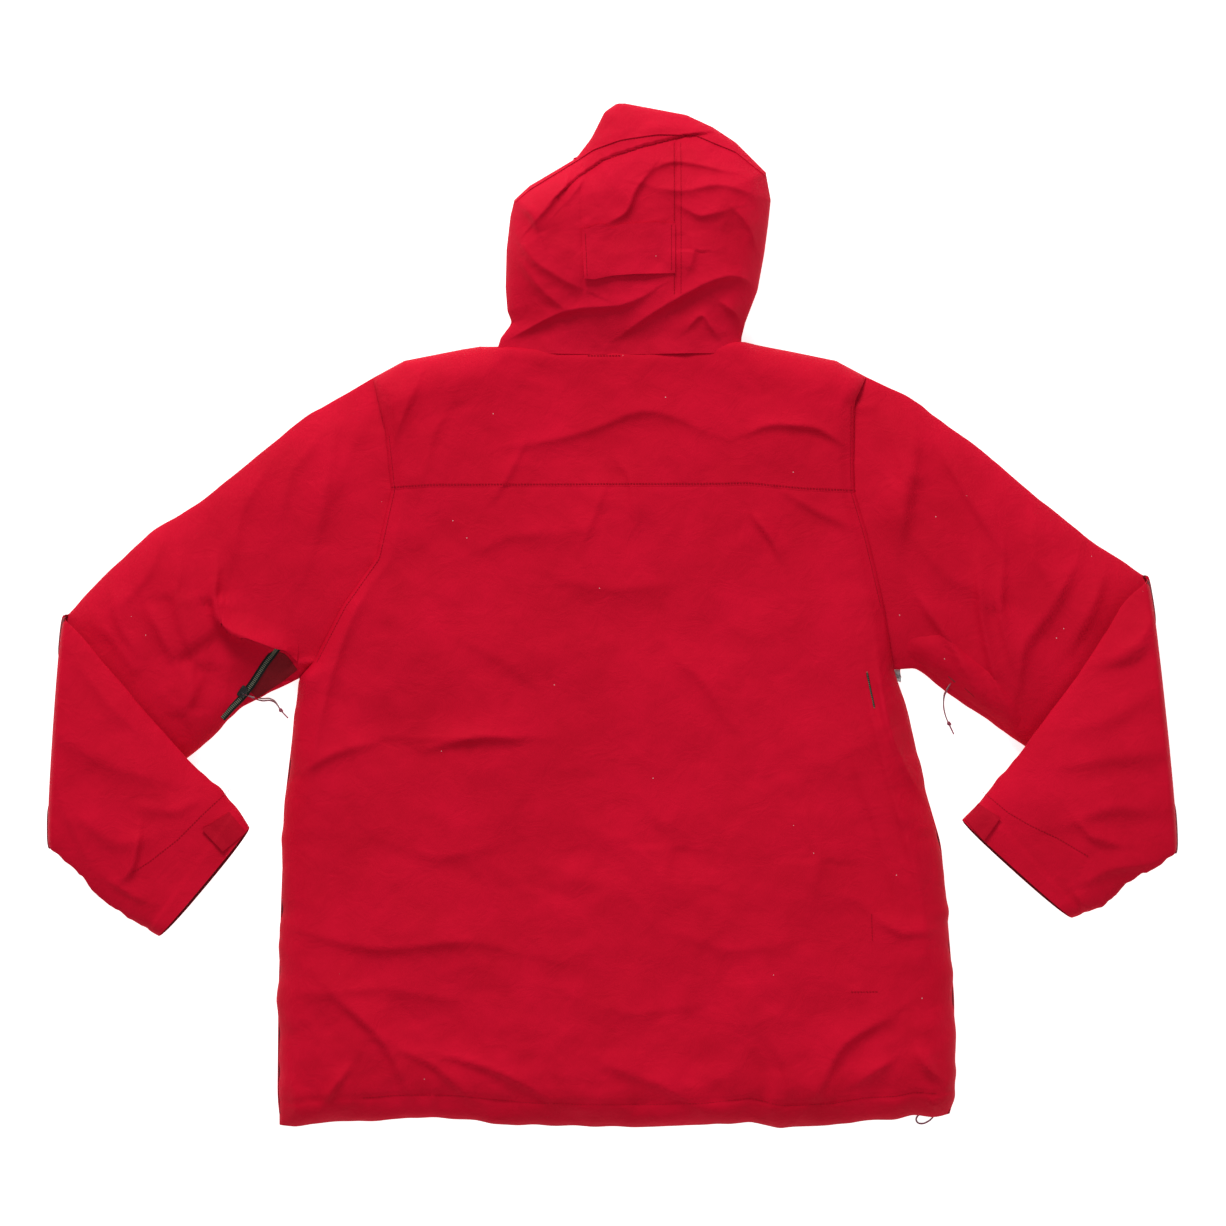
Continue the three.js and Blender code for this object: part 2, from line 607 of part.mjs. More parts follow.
/**
 * Outer face of the hood. a runs across, -1 at the left edge and 1 at the right edge, and past them
 * it follows the face edge that turns under. v runs from the neck seam to the brim's seam.
 */
function hoodSurface(a, v) {
  const base = HOOD_LEFT_EDGE[0][0];
  const left = along(HOOD_LEFT_EDGE, lerp(base, HOOD_LEFT_EDGE.at(-1)[0], v));
  const right = along(HOOD_RIGHT_EDGE, lerp(base, HOOD_RIGHT_EDGE.at(-1)[0], v));
  const share = Math.sin((Math.min(1, Math.max(-1, a)) * Math.PI) / 2);
  const topX = lerp(HOOD_LEFT_EDGE.at(-1)[1], HOOD_RIGHT_EDGE.at(-1)[1], (share + 1) / 2);
  const y = lerp(base, along(BRIM_SEAM, topX), v);
  const crown = BODY_HEIGHT + HOOD_RISE * Math.sin(Math.PI * v);
  const fullness = Math.max(0, 1 - share * share) ** 0.3;
  let x = lerp(left, right, (share + 1) / 2);
  let z = lerp(HOOD_EDGE_HEIGHT, crown, fullness);
  if (Math.abs(a) > 1) {
    const under = ((Math.abs(a) - 1) / 0.4) * (Math.PI / 2);
    const reach = y < HOOD_FLANGE_START ? 5 : HOOD_FLANGE;
    x -= Math.sign(a) * reach * (1 - Math.cos(under));
    z = HOOD_EDGE_HEIGHT * (1 - Math.sin(under));
  }
  return new THREE.Vector3(x, y, z);
}

/** A stretch of the hood between two places across it and two along it. */
const hoodPatch = (a0, a1, v0 = 0, v1 = 1) => (u, v) => hoodSurface(lerp(a0, a1, u), lerp(v0, v1, v));

function addHood() {
  const seam = 0.42;
  const half = 0.002;
  add('hood_center_panel', cloth(hoodPatch(-seam, seam), 8, 10, CLOTH), PAINT.hood());
  add('hood_side_left', cloth(hoodPatch(-1.4, -seam - half * 2), 12, 10, CLOTH), PAINT.hood());
  add('hood_side_right', cloth(hoodPatch(seam + half * 2, 1.4), 12, 10, CLOTH), PAINT.hood());

  const brim = (u, v) => {
    const seamPoint = hoodSurface(lerp(-0.98, 0.98, u), 1);
    const [x, y] = pointAt(BRIM_EDGE, u);
    const edgePoint = new THREE.Vector3(x, y, BRIM_EDGE_HEIGHT);
    const start = seamPoint.clone().lerp(edgePoint, BRIM_GAP / seamPoint.distanceTo(edgePoint));
    return start.lerp(edgePoint, v);
  };
  add('hood_brim', cloth(brim, 16, 2, CLOTH), PAINT.hood());

  const { left, right, low, high } = HOOD_TAB;
  const patchOuter = GAP + LINING;
  const patch = hoodPatch(left + 0.01, lerp(left, right, 0.45), low + 0.02, high - 0.02);
  add('hood_loop_patch', cloth(raised(patch, patchOuter), 4, 2, LINING), PAINT.hook());
  const tab = raised(hoodPatch(left, right, low, high), patchOuter + GAP + TAB_THICK);
  add('hood_tab', cloth(tab, 6, 3, TAB_THICK), PAINT.hood());
}

// ---- Hem drawcord ------------------------------------------------------------------------------

function addHemCord() {
  const { x, y, width, length, height, wall } = CORDLOCK;
  const low = CLOTH + GAP;
  const fit = 0.3;
  const travelEnd = y + length - wall;
  const body = plate(rectangle(x, x + width, y, y + length), low, low + height);
  const bore = plate(rectangle(x + wall, x + width - wall, y - 1, travelEnd), low + wall, low + height - wall);
  add('hem_cordlock', cut(body, bore), PAINT.plastic());
  add('hem_cordlock_button',
    plate(rectangle(x + wall + fit, x + width - wall - fit, y - BUTTON_PROUD, travelEnd - fit - BUTTON_TRAVEL),
      low + wall + fit, low + height - wall - fit),
    PAINT.plastic());
  const route = [
    [339.5, -512, 12], [339.5, -518, 11], [338.5, -524, 9.4], [334, -529.6, 8], [328.5, -534, 7.4],
    [324.3, -536, 6], [322.6, -536, 3.6], [324.4, -533.4, 1.9], [329, -530, 2.2], [332.5, -526.5, 4.4],
    [335, -520.5, 6],
  ];
  add('hem_cord_loop', cordTube(route, HEM_CORD_DIAMETER, 26), PAINT.cord());
}

addBody();
addCollar();
addFrontZip();
for (const side of SIDES) {
  addHandPocket(side);
  addSleeve(side);
}
addHood();
addHemCord();

export default group;
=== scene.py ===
# %% [markdown]
# # A hooded hardshell jacket, laid on its front
# The real jacket is thin waterproof cloth sewn into tubes and a hood. The CAD frame holds each piece's size
# and place. Here each piece becomes a curved sheet of cloth with folds, seams, stitches and a lining.

# %% Load the frame
import math

import bmesh
import bpy
import numpy as np
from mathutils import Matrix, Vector


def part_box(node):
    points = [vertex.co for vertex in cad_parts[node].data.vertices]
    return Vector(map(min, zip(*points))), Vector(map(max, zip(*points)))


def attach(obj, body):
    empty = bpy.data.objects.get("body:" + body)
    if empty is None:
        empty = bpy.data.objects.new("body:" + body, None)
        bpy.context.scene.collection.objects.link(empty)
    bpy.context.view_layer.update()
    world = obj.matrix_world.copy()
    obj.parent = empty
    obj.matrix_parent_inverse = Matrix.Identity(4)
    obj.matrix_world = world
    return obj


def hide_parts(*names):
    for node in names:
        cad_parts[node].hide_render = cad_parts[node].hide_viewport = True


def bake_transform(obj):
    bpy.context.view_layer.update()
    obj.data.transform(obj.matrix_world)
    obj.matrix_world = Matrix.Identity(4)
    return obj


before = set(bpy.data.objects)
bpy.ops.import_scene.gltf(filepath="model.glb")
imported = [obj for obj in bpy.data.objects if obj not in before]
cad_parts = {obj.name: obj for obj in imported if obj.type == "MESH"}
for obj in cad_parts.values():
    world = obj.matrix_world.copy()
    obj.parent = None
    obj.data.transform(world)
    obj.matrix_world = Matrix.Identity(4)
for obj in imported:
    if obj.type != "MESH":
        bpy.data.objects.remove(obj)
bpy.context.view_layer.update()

MM = 0.001
BOXES = {name: tuple(np.array(corner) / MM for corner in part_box(name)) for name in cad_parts}
BACK_TOP = BOXES["back_panel"][1][2]  # the CAD back's upper face
print("CAD nodes:", len(BOXES), "back at", round(BACK_TOP, 1), "mm")

# %% [markdown]
# ## Camera first
# The jacket is seen straight from above. A long lens far away keeps the outline free of perspective, so
# that the panels keep their true proportions.

# %% Camera
CAMERA_HEIGHT = 5.0
FIELD = 1.2873  # width of the view at the height of the cloth
CLOTH_LEVEL = 0.03
camera_data = bpy.data.cameras.new("camera_above")
camera_data.sensor_width = 36
camera_data.lens = camera_data.sensor_width * (CAMERA_HEIGHT - CLOTH_LEVEL) / FIELD
camera = bpy.data.objects.new("camera_above", camera_data)
camera.location = (-0.001, 0.003, CAMERA_HEIGHT)
bpy.context.scene.collection.objects.link(camera)
bpy.context.scene.camera = camera
print("lens", round(camera_data.lens), "mm")

# %% [markdown]
# ## Lines, patches and folds
# Cloth pieces are flat shapes before they are sewn, so each is described by its four edges, and the points
# between them follow. Height is then a function of where a point lies: how far it is from the edges, plus
# the folds that run over it.

# %% Lines and distances
def line(points, count, soft=2):
    """count points at equal steps along a broken line, each then averaged with its neighbours soft times."""
    p = np.array(points, float)
    run = np.r_[0, np.linalg.norm(np.diff(p, axis=0), axis=1).cumsum()]
    t = np.linspace(0, run[-1], count)
    q = np.stack([np.interp(t, run, p[:, k]) for k in range(p.shape[1])], -1)
    for _ in range(soft):
        q[1:-1] = (q[:-2] + 2 * q[1:-1] + q[2:]) / 4
    return q


def nearest(x, y, points):
    """Distance from each (x, y) to a broken line, how far along it the nearest place is (0 to 1), and the
    distance's sign: plus on the side that faces up the page."""
    p = np.array(points, float)
    seg = np.linalg.norm(np.diff(p, axis=0), axis=1)
    run = np.r_[0, seg.cumsum()]
    best, along, sign = np.full(x.shape, 1e9), np.zeros(x.shape), np.ones(x.shape)
    for (ax, ay), (bx, by), length, start in zip(p[:-1], p[1:], seg, run):
        dx, dy = (bx - ax) / length, (by - ay) / length
        t = np.clip((x - ax) * dx + (y - ay) * dy, 0, length)
        ex, ey = x - ax - t * dx, y - ay - t * dy
        far = np.hypot(ex, ey)
        nx, ny = (-dy, dx) if dx > 0 or (dx == 0 and dy < 0) else (dy, -dx)
        near = far < best
        best = np.where(near, far, best)
        along = np.where(near, (start + t) / run[-1], along)
        sign = np.where(near, np.where(ex * nx + ey * ny >= 0, 1.0, -1.0), sign)
    return best, along, sign


def roll(d, radius):
    """Quarter circle that rises from 0 at an edge to 1 at radius from it."""
    t = np.clip(d / radius, 0, 1)
    return np.sqrt(1 - (1 - t) ** 2)


def ease(t):
    """0 to 1 along 3t² - 2t³."""
    t = np.clip(t, 0, 1)
    return t * t * (3 - 2 * t)


# %% Hills, creases and folds
def hills(x, y, cell, seed):
    """Smooth random hills from -1 to 1: seeded numbers on a square lattice, joined with the ease curve."""
    table = np.random.default_rng(seed).uniform(-1, 1, (97, 97))
    ix, iy = np.floor(x / cell).astype(int), np.floor(y / cell).astype(int)
    tx, ty = ease(x / cell - ix), ease(y / cell - iy)
    pick = lambda a, b: table[(ix + a) % 97, (iy + b) % 97]
    low = pick(0, 0) * (1 - tx) + pick(1, 0) * tx
    high = pick(0, 1) * (1 - tx) + pick(1, 1) * tx
    return low * (1 - ty) + high * ty


def facets(x, y, cell, seed, turn=0.5):
    """Crumpled laminate: seeded heights on a bent triangle lattice, joined by flat triangles, so that planes
    meet at sharp creases. Inside a triangle the height is the mix of its corners by the point's shares."""
    table = np.random.default_rng(seed).uniform(-1, 1, (89, 89))
    bx = x * np.cos(turn) + y * np.sin(turn) + cell * 0.55 * hills(x, y, cell * 1.3, seed + 1)
    by = y * np.cos(turn) - x * np.sin(turn) + cell * 0.55 * hills(x, y, cell * 1.3, seed + 2)
    a, b = bx / cell + 0.5 * by / cell, by / cell
    ia, ib = np.floor(a).astype(int), np.floor(b).astype(int)
    fa, fb = a - ia, b - ib
    pick = lambda i, j: table[(ia + i) % 89, (ib + j) % 89]
    first = pick(0, 0) * (1 - fa) + pick(1, 0) * (fa - fb) + pick(1, 1) * fb
    other = pick(0, 0) * (1 - fb) + pick(0, 1) * (fb - fa) + pick(1, 1) * fa
    return np.where(fa > fb, first, other)


def crumple(x, y, size, seed):
    """Facets of three sizes, each about half as wide and half as high as the last."""
    return (facets(x, y, size, seed, 0.5) + 0.5 * facets(x, y, size * 0.47, seed + 5, 1.4)
            + 0.22 * facets(x, y, size * 0.23, seed + 9, 2.3))


def creases(x, y, cell, seed, slant=0.4):
    """Crumpled cloth: hills bent by wider hills, and folded at height 0, which leaves sharp ridges."""
    bx = x + slant * y + cell * 0.7 * hills(x, y, cell * 1.7, seed + 1)
    by = y + cell * 0.7 * hills(x, y, cell * 1.9, seed + 2)
    n = hills(bx, by, cell, seed) + 0.45 * hills(bx, by, cell * 0.45, seed + 3)
    return 0.55 - np.sqrt(n * n + 0.006)


FAR_SLOPE, NEAR_SLOPE = 1.7, 0.5  # a fold's two sides, as shares of its width


def folds(x, y, strokes):
    """Sum of folds. Each is (line, height, width): a ridge that falls off as exp(-(d/width)^1.2), steeper on
    the side that faces down the page, and fades out at both ends of its line."""
    total = np.zeros(x.shape)
    for points, height, width in strokes:
        d, along, sign = nearest(x, y, line(points, 14, 2))
        fade = np.sin(np.pi * np.clip(along * 0.92 + 0.04, 0, 1)) ** 0.6
        total += height * fade * np.exp(-((d / (width * np.where(sign > 0, FAR_SLOPE, NEAR_SLOPE))) ** 1.2))
    return total


def groove(x, y, points, depth, width):
    """A seam's dent: depth * exp(-(d/width)²) along a line."""
    return -depth * np.exp(-((nearest(x, y, points)[0] / width) ** 2))


# %% Patches
def patch(bottom, right, top, left, rows, columns, soft=2):
    """Coons patch between four edges: the sum of the two straight blends less the blend of the corners."""
    b, t = line(bottom, columns, soft), line(top, columns, soft)
    l, r = line(left, rows, soft), line(right, rows, soft)
    u = np.linspace(0, 1, columns)[None, :, None]
    v = np.linspace(0, 1, rows)[:, None, None]
    across = (1 - v) * b[None] + v * t[None]
    along = (1 - u) * l[:, None] + u * r[:, None]
    corners = (1 - v) * ((1 - u) * b[0] + u * b[-1]) + v * ((1 - u) * t[0] + u * t[-1])
    return across + along - corners


def with_height(plan, z):
    """A grid of plan points with a height at each."""
    return np.concatenate([plan, np.broadcast_to(z, plan.shape[:2])[..., None]], -1)


def plan_xy(plan):
    """The x and the y of a grid of plan points."""
    return plan[..., 0], plan[..., 1]


def oblong(low, high, rows, columns, soft=0):
    """Level rectangle between its low and high corners."""
    (x0, y0), (x1, y1) = low, high
    return patch([(x0, y0), (x1, y0)], [(x1, y0), (x1, y1)], [(x0, y1), (x1, y1)], [(x0, y0), (x0, y1)], rows,
                 columns, soft)


# %% From a grid to a mesh
def new_object(name, points, faces, paints, smooth=True):
    """Mesh object from points in millimetres and their faces, with its materials."""
    mesh = bpy.data.meshes.new(name)
    mesh.from_pydata(np.asarray(points, float) * MM, [], faces, shade_flat=not smooth)
    for paint in paints:
        mesh.materials.append(paint)
    obj = bpy.data.objects.new(name, mesh)
    bpy.context.scene.collection.objects.link(obj)
    return obj


def turned_in(grid, quads, facing):
    """True if the faces point the wrong way: down for "up", up for "down", and towards its own rings' middles
    for "out"."""
    p = grid.reshape(-1, 3)[quads.reshape(-1, 4)]
    normal = np.cross(p[:, 2] - p[:, 0], p[:, 3] - p[:, 1])
    if facing == "out":
        away = p.mean(1).reshape(*quads.shape[:2], 3)
        away = (away - away.mean(1, keepdims=True)).reshape(-1, 3)
        return (normal * away).sum() < 0
    return (normal[:, 2].sum() < 0) == (facing == "up")


def sharp_border(mesh):
    """Marks the edges with only one face as sharp, so that a cut edge doesn't shade the cloth beside it."""
    sides = np.zeros(len(mesh.loops), int)
    mesh.loops.foreach_get("edge_index", sides)
    border = np.bincount(sides, minlength=len(mesh.edges)) == 1
    mark = mesh.attributes.get("sharp_edge") or mesh.attributes.new("sharp_edge", "BOOLEAN", "EDGE")
    mark.data.foreach_set("value", border)


def cloth_piece(name, grid, paints, thick=1.6, ring=False, facing="up"):
    """Sheet of cloth over a rows x columns grid. Its UV map is in metres along the cloth, and Solidify gives
    it a thickness on its inner side, in the second paint where there is one."""
    rows, columns = grid.shape[:2]
    r, c = np.meshgrid(np.arange(rows - 1), np.arange(columns if ring else columns - 1), indexing="ij")
    nxt = (c + 1) % columns
    quads = np.stack([r * columns + c, r * columns + nxt, (r + 1) * columns + nxt, (r + 1) * columns + c], -1)
    step_u = np.linalg.norm(np.diff(grid[rows // 2], axis=0, append=grid[rows // 2][:1]), axis=-1)
    u = np.r_[0, step_u.cumsum()] * MM
    v = np.r_[0, np.linalg.norm(np.diff(grid[:, columns // 2], axis=0), axis=-1).cumsum()] * MM
    uv = np.stack([np.stack([u[c + a], v[r + b]], -1) for a, b in ((0, 0), (1, 0), (1, 1), (0, 1))], -2)
    if turned_in(grid, quads, facing):
        quads, uv = quads[..., ::-1], uv[..., ::-1, :]
    obj = new_object(name, grid.reshape(-1, 3), quads.reshape(-1, 4), paints)
    obj.data.uv_layers.new(name="cloth").data.foreach_set("uv", uv.ravel())
    sharp_border(obj.data)
    if thick:
        wall = obj.modifiers.new("thickness", "SOLIDIFY")
        wall.thickness, wall.offset = thick * MM, -1
        wall.material_offset = 1 if len(paints) > 1 else 0
    return obj


def place(obj, body, slot, *nodes):
    """Rides a body and stands for CAD nodes. The slot argument is not used."""
    if body:
        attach(obj, body)
    if nodes:
        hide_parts(*nodes)
    return obj


def laid_cloth(name, grid, paints, body, slot, *nodes, **shape):
    """A cloth piece that rides one body."""
    return place(cloth_piece(name, grid, paints, **shape), body, slot, *nodes)


# %% [markdown]
# ## Materials
# The shell is a matte laminate with a fine plain weave, soft crinkles and a little lint. One node group
# makes the weave, the crinkle and the uneven dye, and each cloth uses it with its own values.

# %% Node helpers
def node(tree, kind, **sockets):
    """New node with its named inputs set or linked. A name that isn't an input is a property of the node."""
    made = tree.nodes.new(kind)
    for name, value in sockets.items():
        if name.startswith("_"):
            setattr(made, name[1:], value)
    for name, value in sockets.items():
        if name.startswith("_"):
            continue
        key = int(name[1:]) if name[0] == "i" and name[1:].isdigit() else name.replace("__", " ")
        if isinstance(value, bpy.types.NodeSocket):
            tree.links.new(value, made.inputs[key])
        else:
            made.inputs[key].default_value = value
    return made


def calc(tree, how, a, b=0.0):
    """One Math node on one or two values."""
    return node(tree, "ShaderNodeMath", _operation=how, i0=a, i1=b).outputs[0]


def new_group(name, inputs, outputs):
    """Empty shader node group with named sockets."""
    tree = bpy.data.node_groups.new(name, "ShaderNodeTree")
    for label, kind in inputs:
        tree.interface.new_socket(name=label, in_out="INPUT", socket_type=kind)
    for label, kind in outputs:
        tree.interface.new_socket(name=label, in_out="OUTPUT", socket_type=kind)
    return tree, tree.nodes.new("NodeGroupInput"), tree.nodes.new("NodeGroupOutput")


# %% The woven cloth group
FLOAT, VECTOR = "NodeSocketFloat", "NodeSocketVector"
woven, woven_in, woven_out = new_group(
    "woven_cloth",
    [("Along cloth", VECTOR), ("In space", VECTOR), ("Thread pitch", FLOAT), ("Crinkle size", FLOAT)],
    [("Height", FLOAT), ("Dye", FLOAT), ("Lint", FLOAT)],
)
split = node(woven, "ShaderNodeSeparateXYZ", Vector=woven_in.outputs["Along cloth"])
turns = calc(woven, "DIVIDE", 2 * math.pi, woven_in.outputs["Thread pitch"])
warp = calc(woven, "SINE", calc(woven, "MULTIPLY", split.outputs[0], turns))
weft = calc(woven, "SINE", calc(woven, "MULTIPLY", split.outputs[1], turns))
threads = calc(woven, "MAXIMUM", warp, weft)
crinkle_scale = calc(woven, "DIVIDE", 1.0, woven_in.outputs["Crinkle size"])
crinkle = node(woven, "ShaderNodeTexNoise", Vector=woven_in.outputs["In space"], Scale=crinkle_scale,
               Detail=4.0, Roughness=0.6, Distortion=0.6).outputs[0]
ridge = calc(woven, "ABSOLUTE", calc(woven, "SUBTRACT", crinkle, 0.5))
height = calc(woven, "ADD", calc(woven, "MULTIPLY", threads, 0.03), calc(woven, "MULTIPLY", ridge, -2.0))
dye = node(woven, "ShaderNodeTexNoise", Vector=woven_in.outputs["In space"], Scale=14.0, Detail=5.0,
           Roughness=0.65)
specks = node(woven, "ShaderNodeTexVoronoi", Vector=woven_in.outputs["In space"], Scale=34.0)
lint = calc(woven, "LESS_THAN", specks.outputs["Distance"], 0.016)
woven.links.new(height, woven_out.inputs["Height"])
woven.links.new(dye.outputs[0], woven_out.inputs["Dye"])
woven.links.new(lint, woven_out.inputs["Lint"])


# %% Paint for a cloth
def cloth_paint(name, dark, light, roughness, pitch=0.0006, crinkle=0.03, bump=0.3, lint=(0.7, 0.5, 0.5)):
    """Principled cloth: the dye moves its colour between dark and light; weave and crinkle bump it."""
    paint = bpy.data.materials.new(name)
    paint.use_nodes = True
    tree = paint.node_tree
    tree.nodes.clear()
    place_on = node(tree, "ShaderNodeTexCoord")
    cloth = node(tree, "ShaderNodeGroup", _node_tree=woven, Along__cloth=place_on.outputs["UV"],
                 In__space=place_on.outputs["Object"], Thread__pitch=pitch, Crinkle__size=crinkle)
    spread = node(tree, "ShaderNodeMapRange", Value=cloth.outputs["Dye"], i1=0.3, i2=0.7)
    colour = node(tree, "ShaderNodeMix", _data_type="RGBA", Factor=spread.outputs[0], i6=(*dark, 1),
                  i7=(*light, 1))
    fluff = node(tree, "ShaderNodeMix", _data_type="RGBA", Factor=cloth.outputs["Lint"], i6=colour.outputs[2],
                 i7=(*lint, 1))
    relief = node(tree, "ShaderNodeBump", Strength=bump, Distance=0.004, Height=cloth.outputs["Height"])
    rough = node(tree, "ShaderNodeMapRange", Value=cloth.outputs["Dye"], i3=roughness - 0.06,
                 i4=roughness + 0.06)
    shader = node(tree, "ShaderNodeBsdfPrincipled", Base__Color=fluff.outputs[2], Roughness=rough.outputs[0],
                  Normal=relief.outputs[0], Specular__IOR__Level=0.07)
    tree.links.new(shader.outputs[0], node(tree, "ShaderNodeOutputMaterial").inputs[0])
    return paint


PAINTS = {
    "shell_red": cloth_paint("shell_red", (0.50, 0.0016, 0.018), (0.60, 0.0026, 0.025), 0.72),
    "hood_red": cloth_paint("hood_red", (0.51, 0.0022, 0.020), (0.61, 0.0034, 0.028), 0.72),
    "tab_red": cloth_paint("tab_red", (0.38, 0.0012, 0.013), (0.45, 0.0020, 0.018), 0.72),
    "lining": cloth_paint("lining_grey", (0.035, 0.033, 0.036), (0.060, 0.056, 0.060), 0.5, pitch=0.0003,
                          bump=0.2, lint=(0.2, 0.2, 0.2)),
    "cuff_lining": cloth_paint("cuff_lining", (0.14, 0.004, 0.009), (0.20, 0.008, 0.014), 0.6),
    "zip_tape": cloth_paint("zip_tape", (0.008, 0.008, 0.008), (0.016, 0.016, 0.016), 0.75, pitch=0.0012,
                            bump=0.15, crinkle=0.01, lint=(0.02, 0.02, 0.02)),
    "loop_pile": cloth_paint("loop_pile", (0.22, 0.003, 0.012), (0.34, 0.006, 0.022), 0.95, pitch=0.0015,
                             crinkle=0.003, bump=0.9),
    "label": cloth_paint("label_satin", (0.60, 0.59, 0.55), (0.70, 0.69, 0.65), 0.42, pitch=0.0005, bump=0.12,
                         lint=(0.6, 0.6, 0.6)),
    "thread": cloth_paint("stitch_thread", (0.32, 0.002, 0.012), (0.42, 0.004, 0.018), 0.6, pitch=0.0004,
                          crinkle=0.002, bump=0.5),
    "cord": cloth_paint("cord_pink", (0.30, 0.045, 0.085), (0.50, 0.16, 0.22), 0.7, pitch=0.0009,
                        crinkle=0.0015, bump=0.8, lint=(0.6, 0.5, 0.5)),
    "cord_pale": cloth_paint("cord_pale", (0.42, 0.36, 0.34), (0.62, 0.52, 0.5), 0.7, crinkle=0.0015,
                             bump=0.8),
    "fluff": cloth_paint("fluff_grey", (0.62, 0.60, 0.60), (0.85, 0.83, 0.83), 0.9, crinkle=0.003, bump=1.0),
}


# %% Paint for hard parts
grain, grain_in, grain_out = new_group("moulded_grain", [("In space", VECTOR)],
                                       [("Height", FLOAT), ("Wear", FLOAT)])
fine = node(grain, "ShaderNodeTexNoise", Vector=grain_in.outputs[0], Scale=2200.0, Detail=3.0)
worn = node(grain, "ShaderNodeTexNoise", Vector=grain_in.outputs[0], Scale=240.0, Detail=6.0, Roughness=0.7)
grain.links.new(fine.outputs[0], grain_out.inputs["Height"])
grain.links.new(worn.outputs[0], grain_out.inputs["Wear"])


def hard_paint(name, base, worn_colour, metallic, roughness, bump):
    """Moulded or painted part: wear shows through in small worn spots, over a fine grain."""
    paint = bpy.data.materials.new(name)
    paint.use_nodes = True
    tree = paint.node_tree
    tree.nodes.clear()
    surface = node(tree, "ShaderNodeGroup", _node_tree=grain,
                   In__space=node(tree, "ShaderNodeTexCoord").outputs["Object"])
    mask = node(tree, "ShaderNodeMapRange", Value=surface.outputs["Wear"], i1=0.58, i2=0.72)
    colour = node(tree, "ShaderNodeMix", _data_type="RGBA", Factor=mask.outputs[0], i6=(*base, 1),
                  i7=(*worn_colour, 1))
    rough = node(tree, "ShaderNodeMapRange", Value=surface.outputs["Wear"], i3=roughness - 0.08,
                 i4=roughness + 0.08)
    relief = node(tree, "ShaderNodeBump", Strength=bump, Distance=0.0002, Height=surface.outputs["Height"])
    shader = node(tree, "ShaderNodeBsdfPrincipled", Base__Color=colour.outputs[2], Metallic=metallic,
                  Roughness=rough.outputs[0], Normal=relief.outputs[0])
    tree.links.new(shader.outputs[0], node(tree, "ShaderNodeOutputMaterial").inputs[0])
    return paint


PAINTS["slider"] = hard_paint("slider_black", (0.012, 0.012, 0.012), (0.16, 0.16, 0.16), 0.55, 0.42, 0.3)
PAINTS["plastic"] = hard_paint("plastic_black", (0.012, 0.012, 0.013), (0.03, 0.03, 0.03), 0.0, 0.5, 0.4)
PAINTS["coil"] = hard_paint("coil_grey_green", (0.12, 0.135, 0.09), (0.20, 0.22, 0.16), 0.0, 0.4, 0.3)
SHELL = [PAINTS["shell_red"]]
SHELL_AND_LINING = [PAINTS["shell_red"], PAINTS["lining"]]
SHELL_AND_CUFF = [PAINTS["shell_red"], PAINTS["cuff_lining"]]
HOOD_AND_LINING = [PAINTS["hood_red"], PAINTS["lining"]]
LINING, CUFF_LINING = [PAINTS["lining"]], [PAINTS["cuff_lining"]]
print("materials:", len(PAINTS))

# %% [markdown]
# ## Outlines
# Each side has its own outline, because the jacket was laid down by hand. Points are in millimetres, from
# the hem up or from the shoulder out.

# %% Side outlines
SIDES = {
    "left": dict(
        sign=-1,
        shoulder=(-254, 251),
        armpit=(-332, -66),
        slider=(-391, -80),
        side=[(-353, -525), (-355, -508), (-354, -403), (-351, -298), (-347, -193), (-337, -109),
              (-332, -66)],
        armhole=[(-332, -66), (-316, -49), (-286, 9), (-250, 60), (-234, 132), (-240, 190), (-254, 251)],
        sleeve_top=[(-254, 251), (-330, 208), (-382, 164), (-435, 122), (-487, 90), (-530, 50), (-574, 3)],
        sleeve_under=[(-332, -66), (-350, -75), (-393, -97), (-409, -112), (-416, -122), (-448, -148),
                      (-586, -240)],
        forearm_top=[(-572, -6), (-548, -32), (-508, -78), (-448, -148), (-408, -183), (-402, -193),
                     (-394, -200), (-382, -221)],
        forearm_under=[(-588, -245), (-566, -262), (-543, -290), (-510, -316), (-477, -335)],
    ),
    "right": dict(
        sign=1,
        shoulder=(266, 252),
        armpit=(295, -57),
        slider=(357, -64),
        side=[(354, -525), (359, -508), (359, -403), (352, -320), (345, -240), (325, -172), (310, -100),
              (295, -57)],
        armhole=[(295, -57), (284, 10), (267, 82), (253, 129), (252, 159), (253, 220), (266, 252)],
        sleeve_top=[(266, 252), (311, 232), (389, 174), (458, 116), (510, 74), (556, 44)],
        sleeve_under=[(295, -57), (318, -55), (353, -83), (389, -107), (431, -135), (584, -245)],
        forearm_top=[(555, 34), (532, 12), (497, -44), (431, -135), (399, -173), (383, -194), (365, -213)],
        forearm_under=[(585, -250), (562, -266), (535, -280), (514, -304), (480, -316)],
    ),
}
HEM = [(-343, -537), (-264, -532), (-217, -529), (-166, -530), (-90, -537), (-20, -539), (36, -539),
       (97, -537), (144, -532), (176, -540), (228, -538), (261, -532), (298, -530), (315, -526),
       (339, -527), (354, -525)]
YOKE_SEAM = [(-234, 132), (-193, 135), (110, 136), (138, 137), (200, 131), (253, 129)]
YOKE_TOP = [(-254, 251), (-221, 269), (-160, 281), (-141, 284), (-25, 279), (71, 281), (102, 288),
            (138, 288), (185, 279), (234, 269), (266, 252)]
HEM_CURVE = line(HEM, 200, 1)
EDGE = {name: line(side["side"] + side["armhole"][1:], 260) for name, side in SIDES.items()}
for outline in EDGE.values():
    level = outline[:, 1]
    wander = 1.8 * hills(level, 0 * level, 34, 401) + 0.9 * hills(level, 0 * level, 13, 403)
    outline[:, 0] += wander * ease((-70 - level) / 40) * ease((level + 530) / 20)
HEM_CURVE[:, 1] += 1.6 * hills(HEM_CURVE[:, 0], 0 * HEM_CURVE[:, 0], 21, 405)


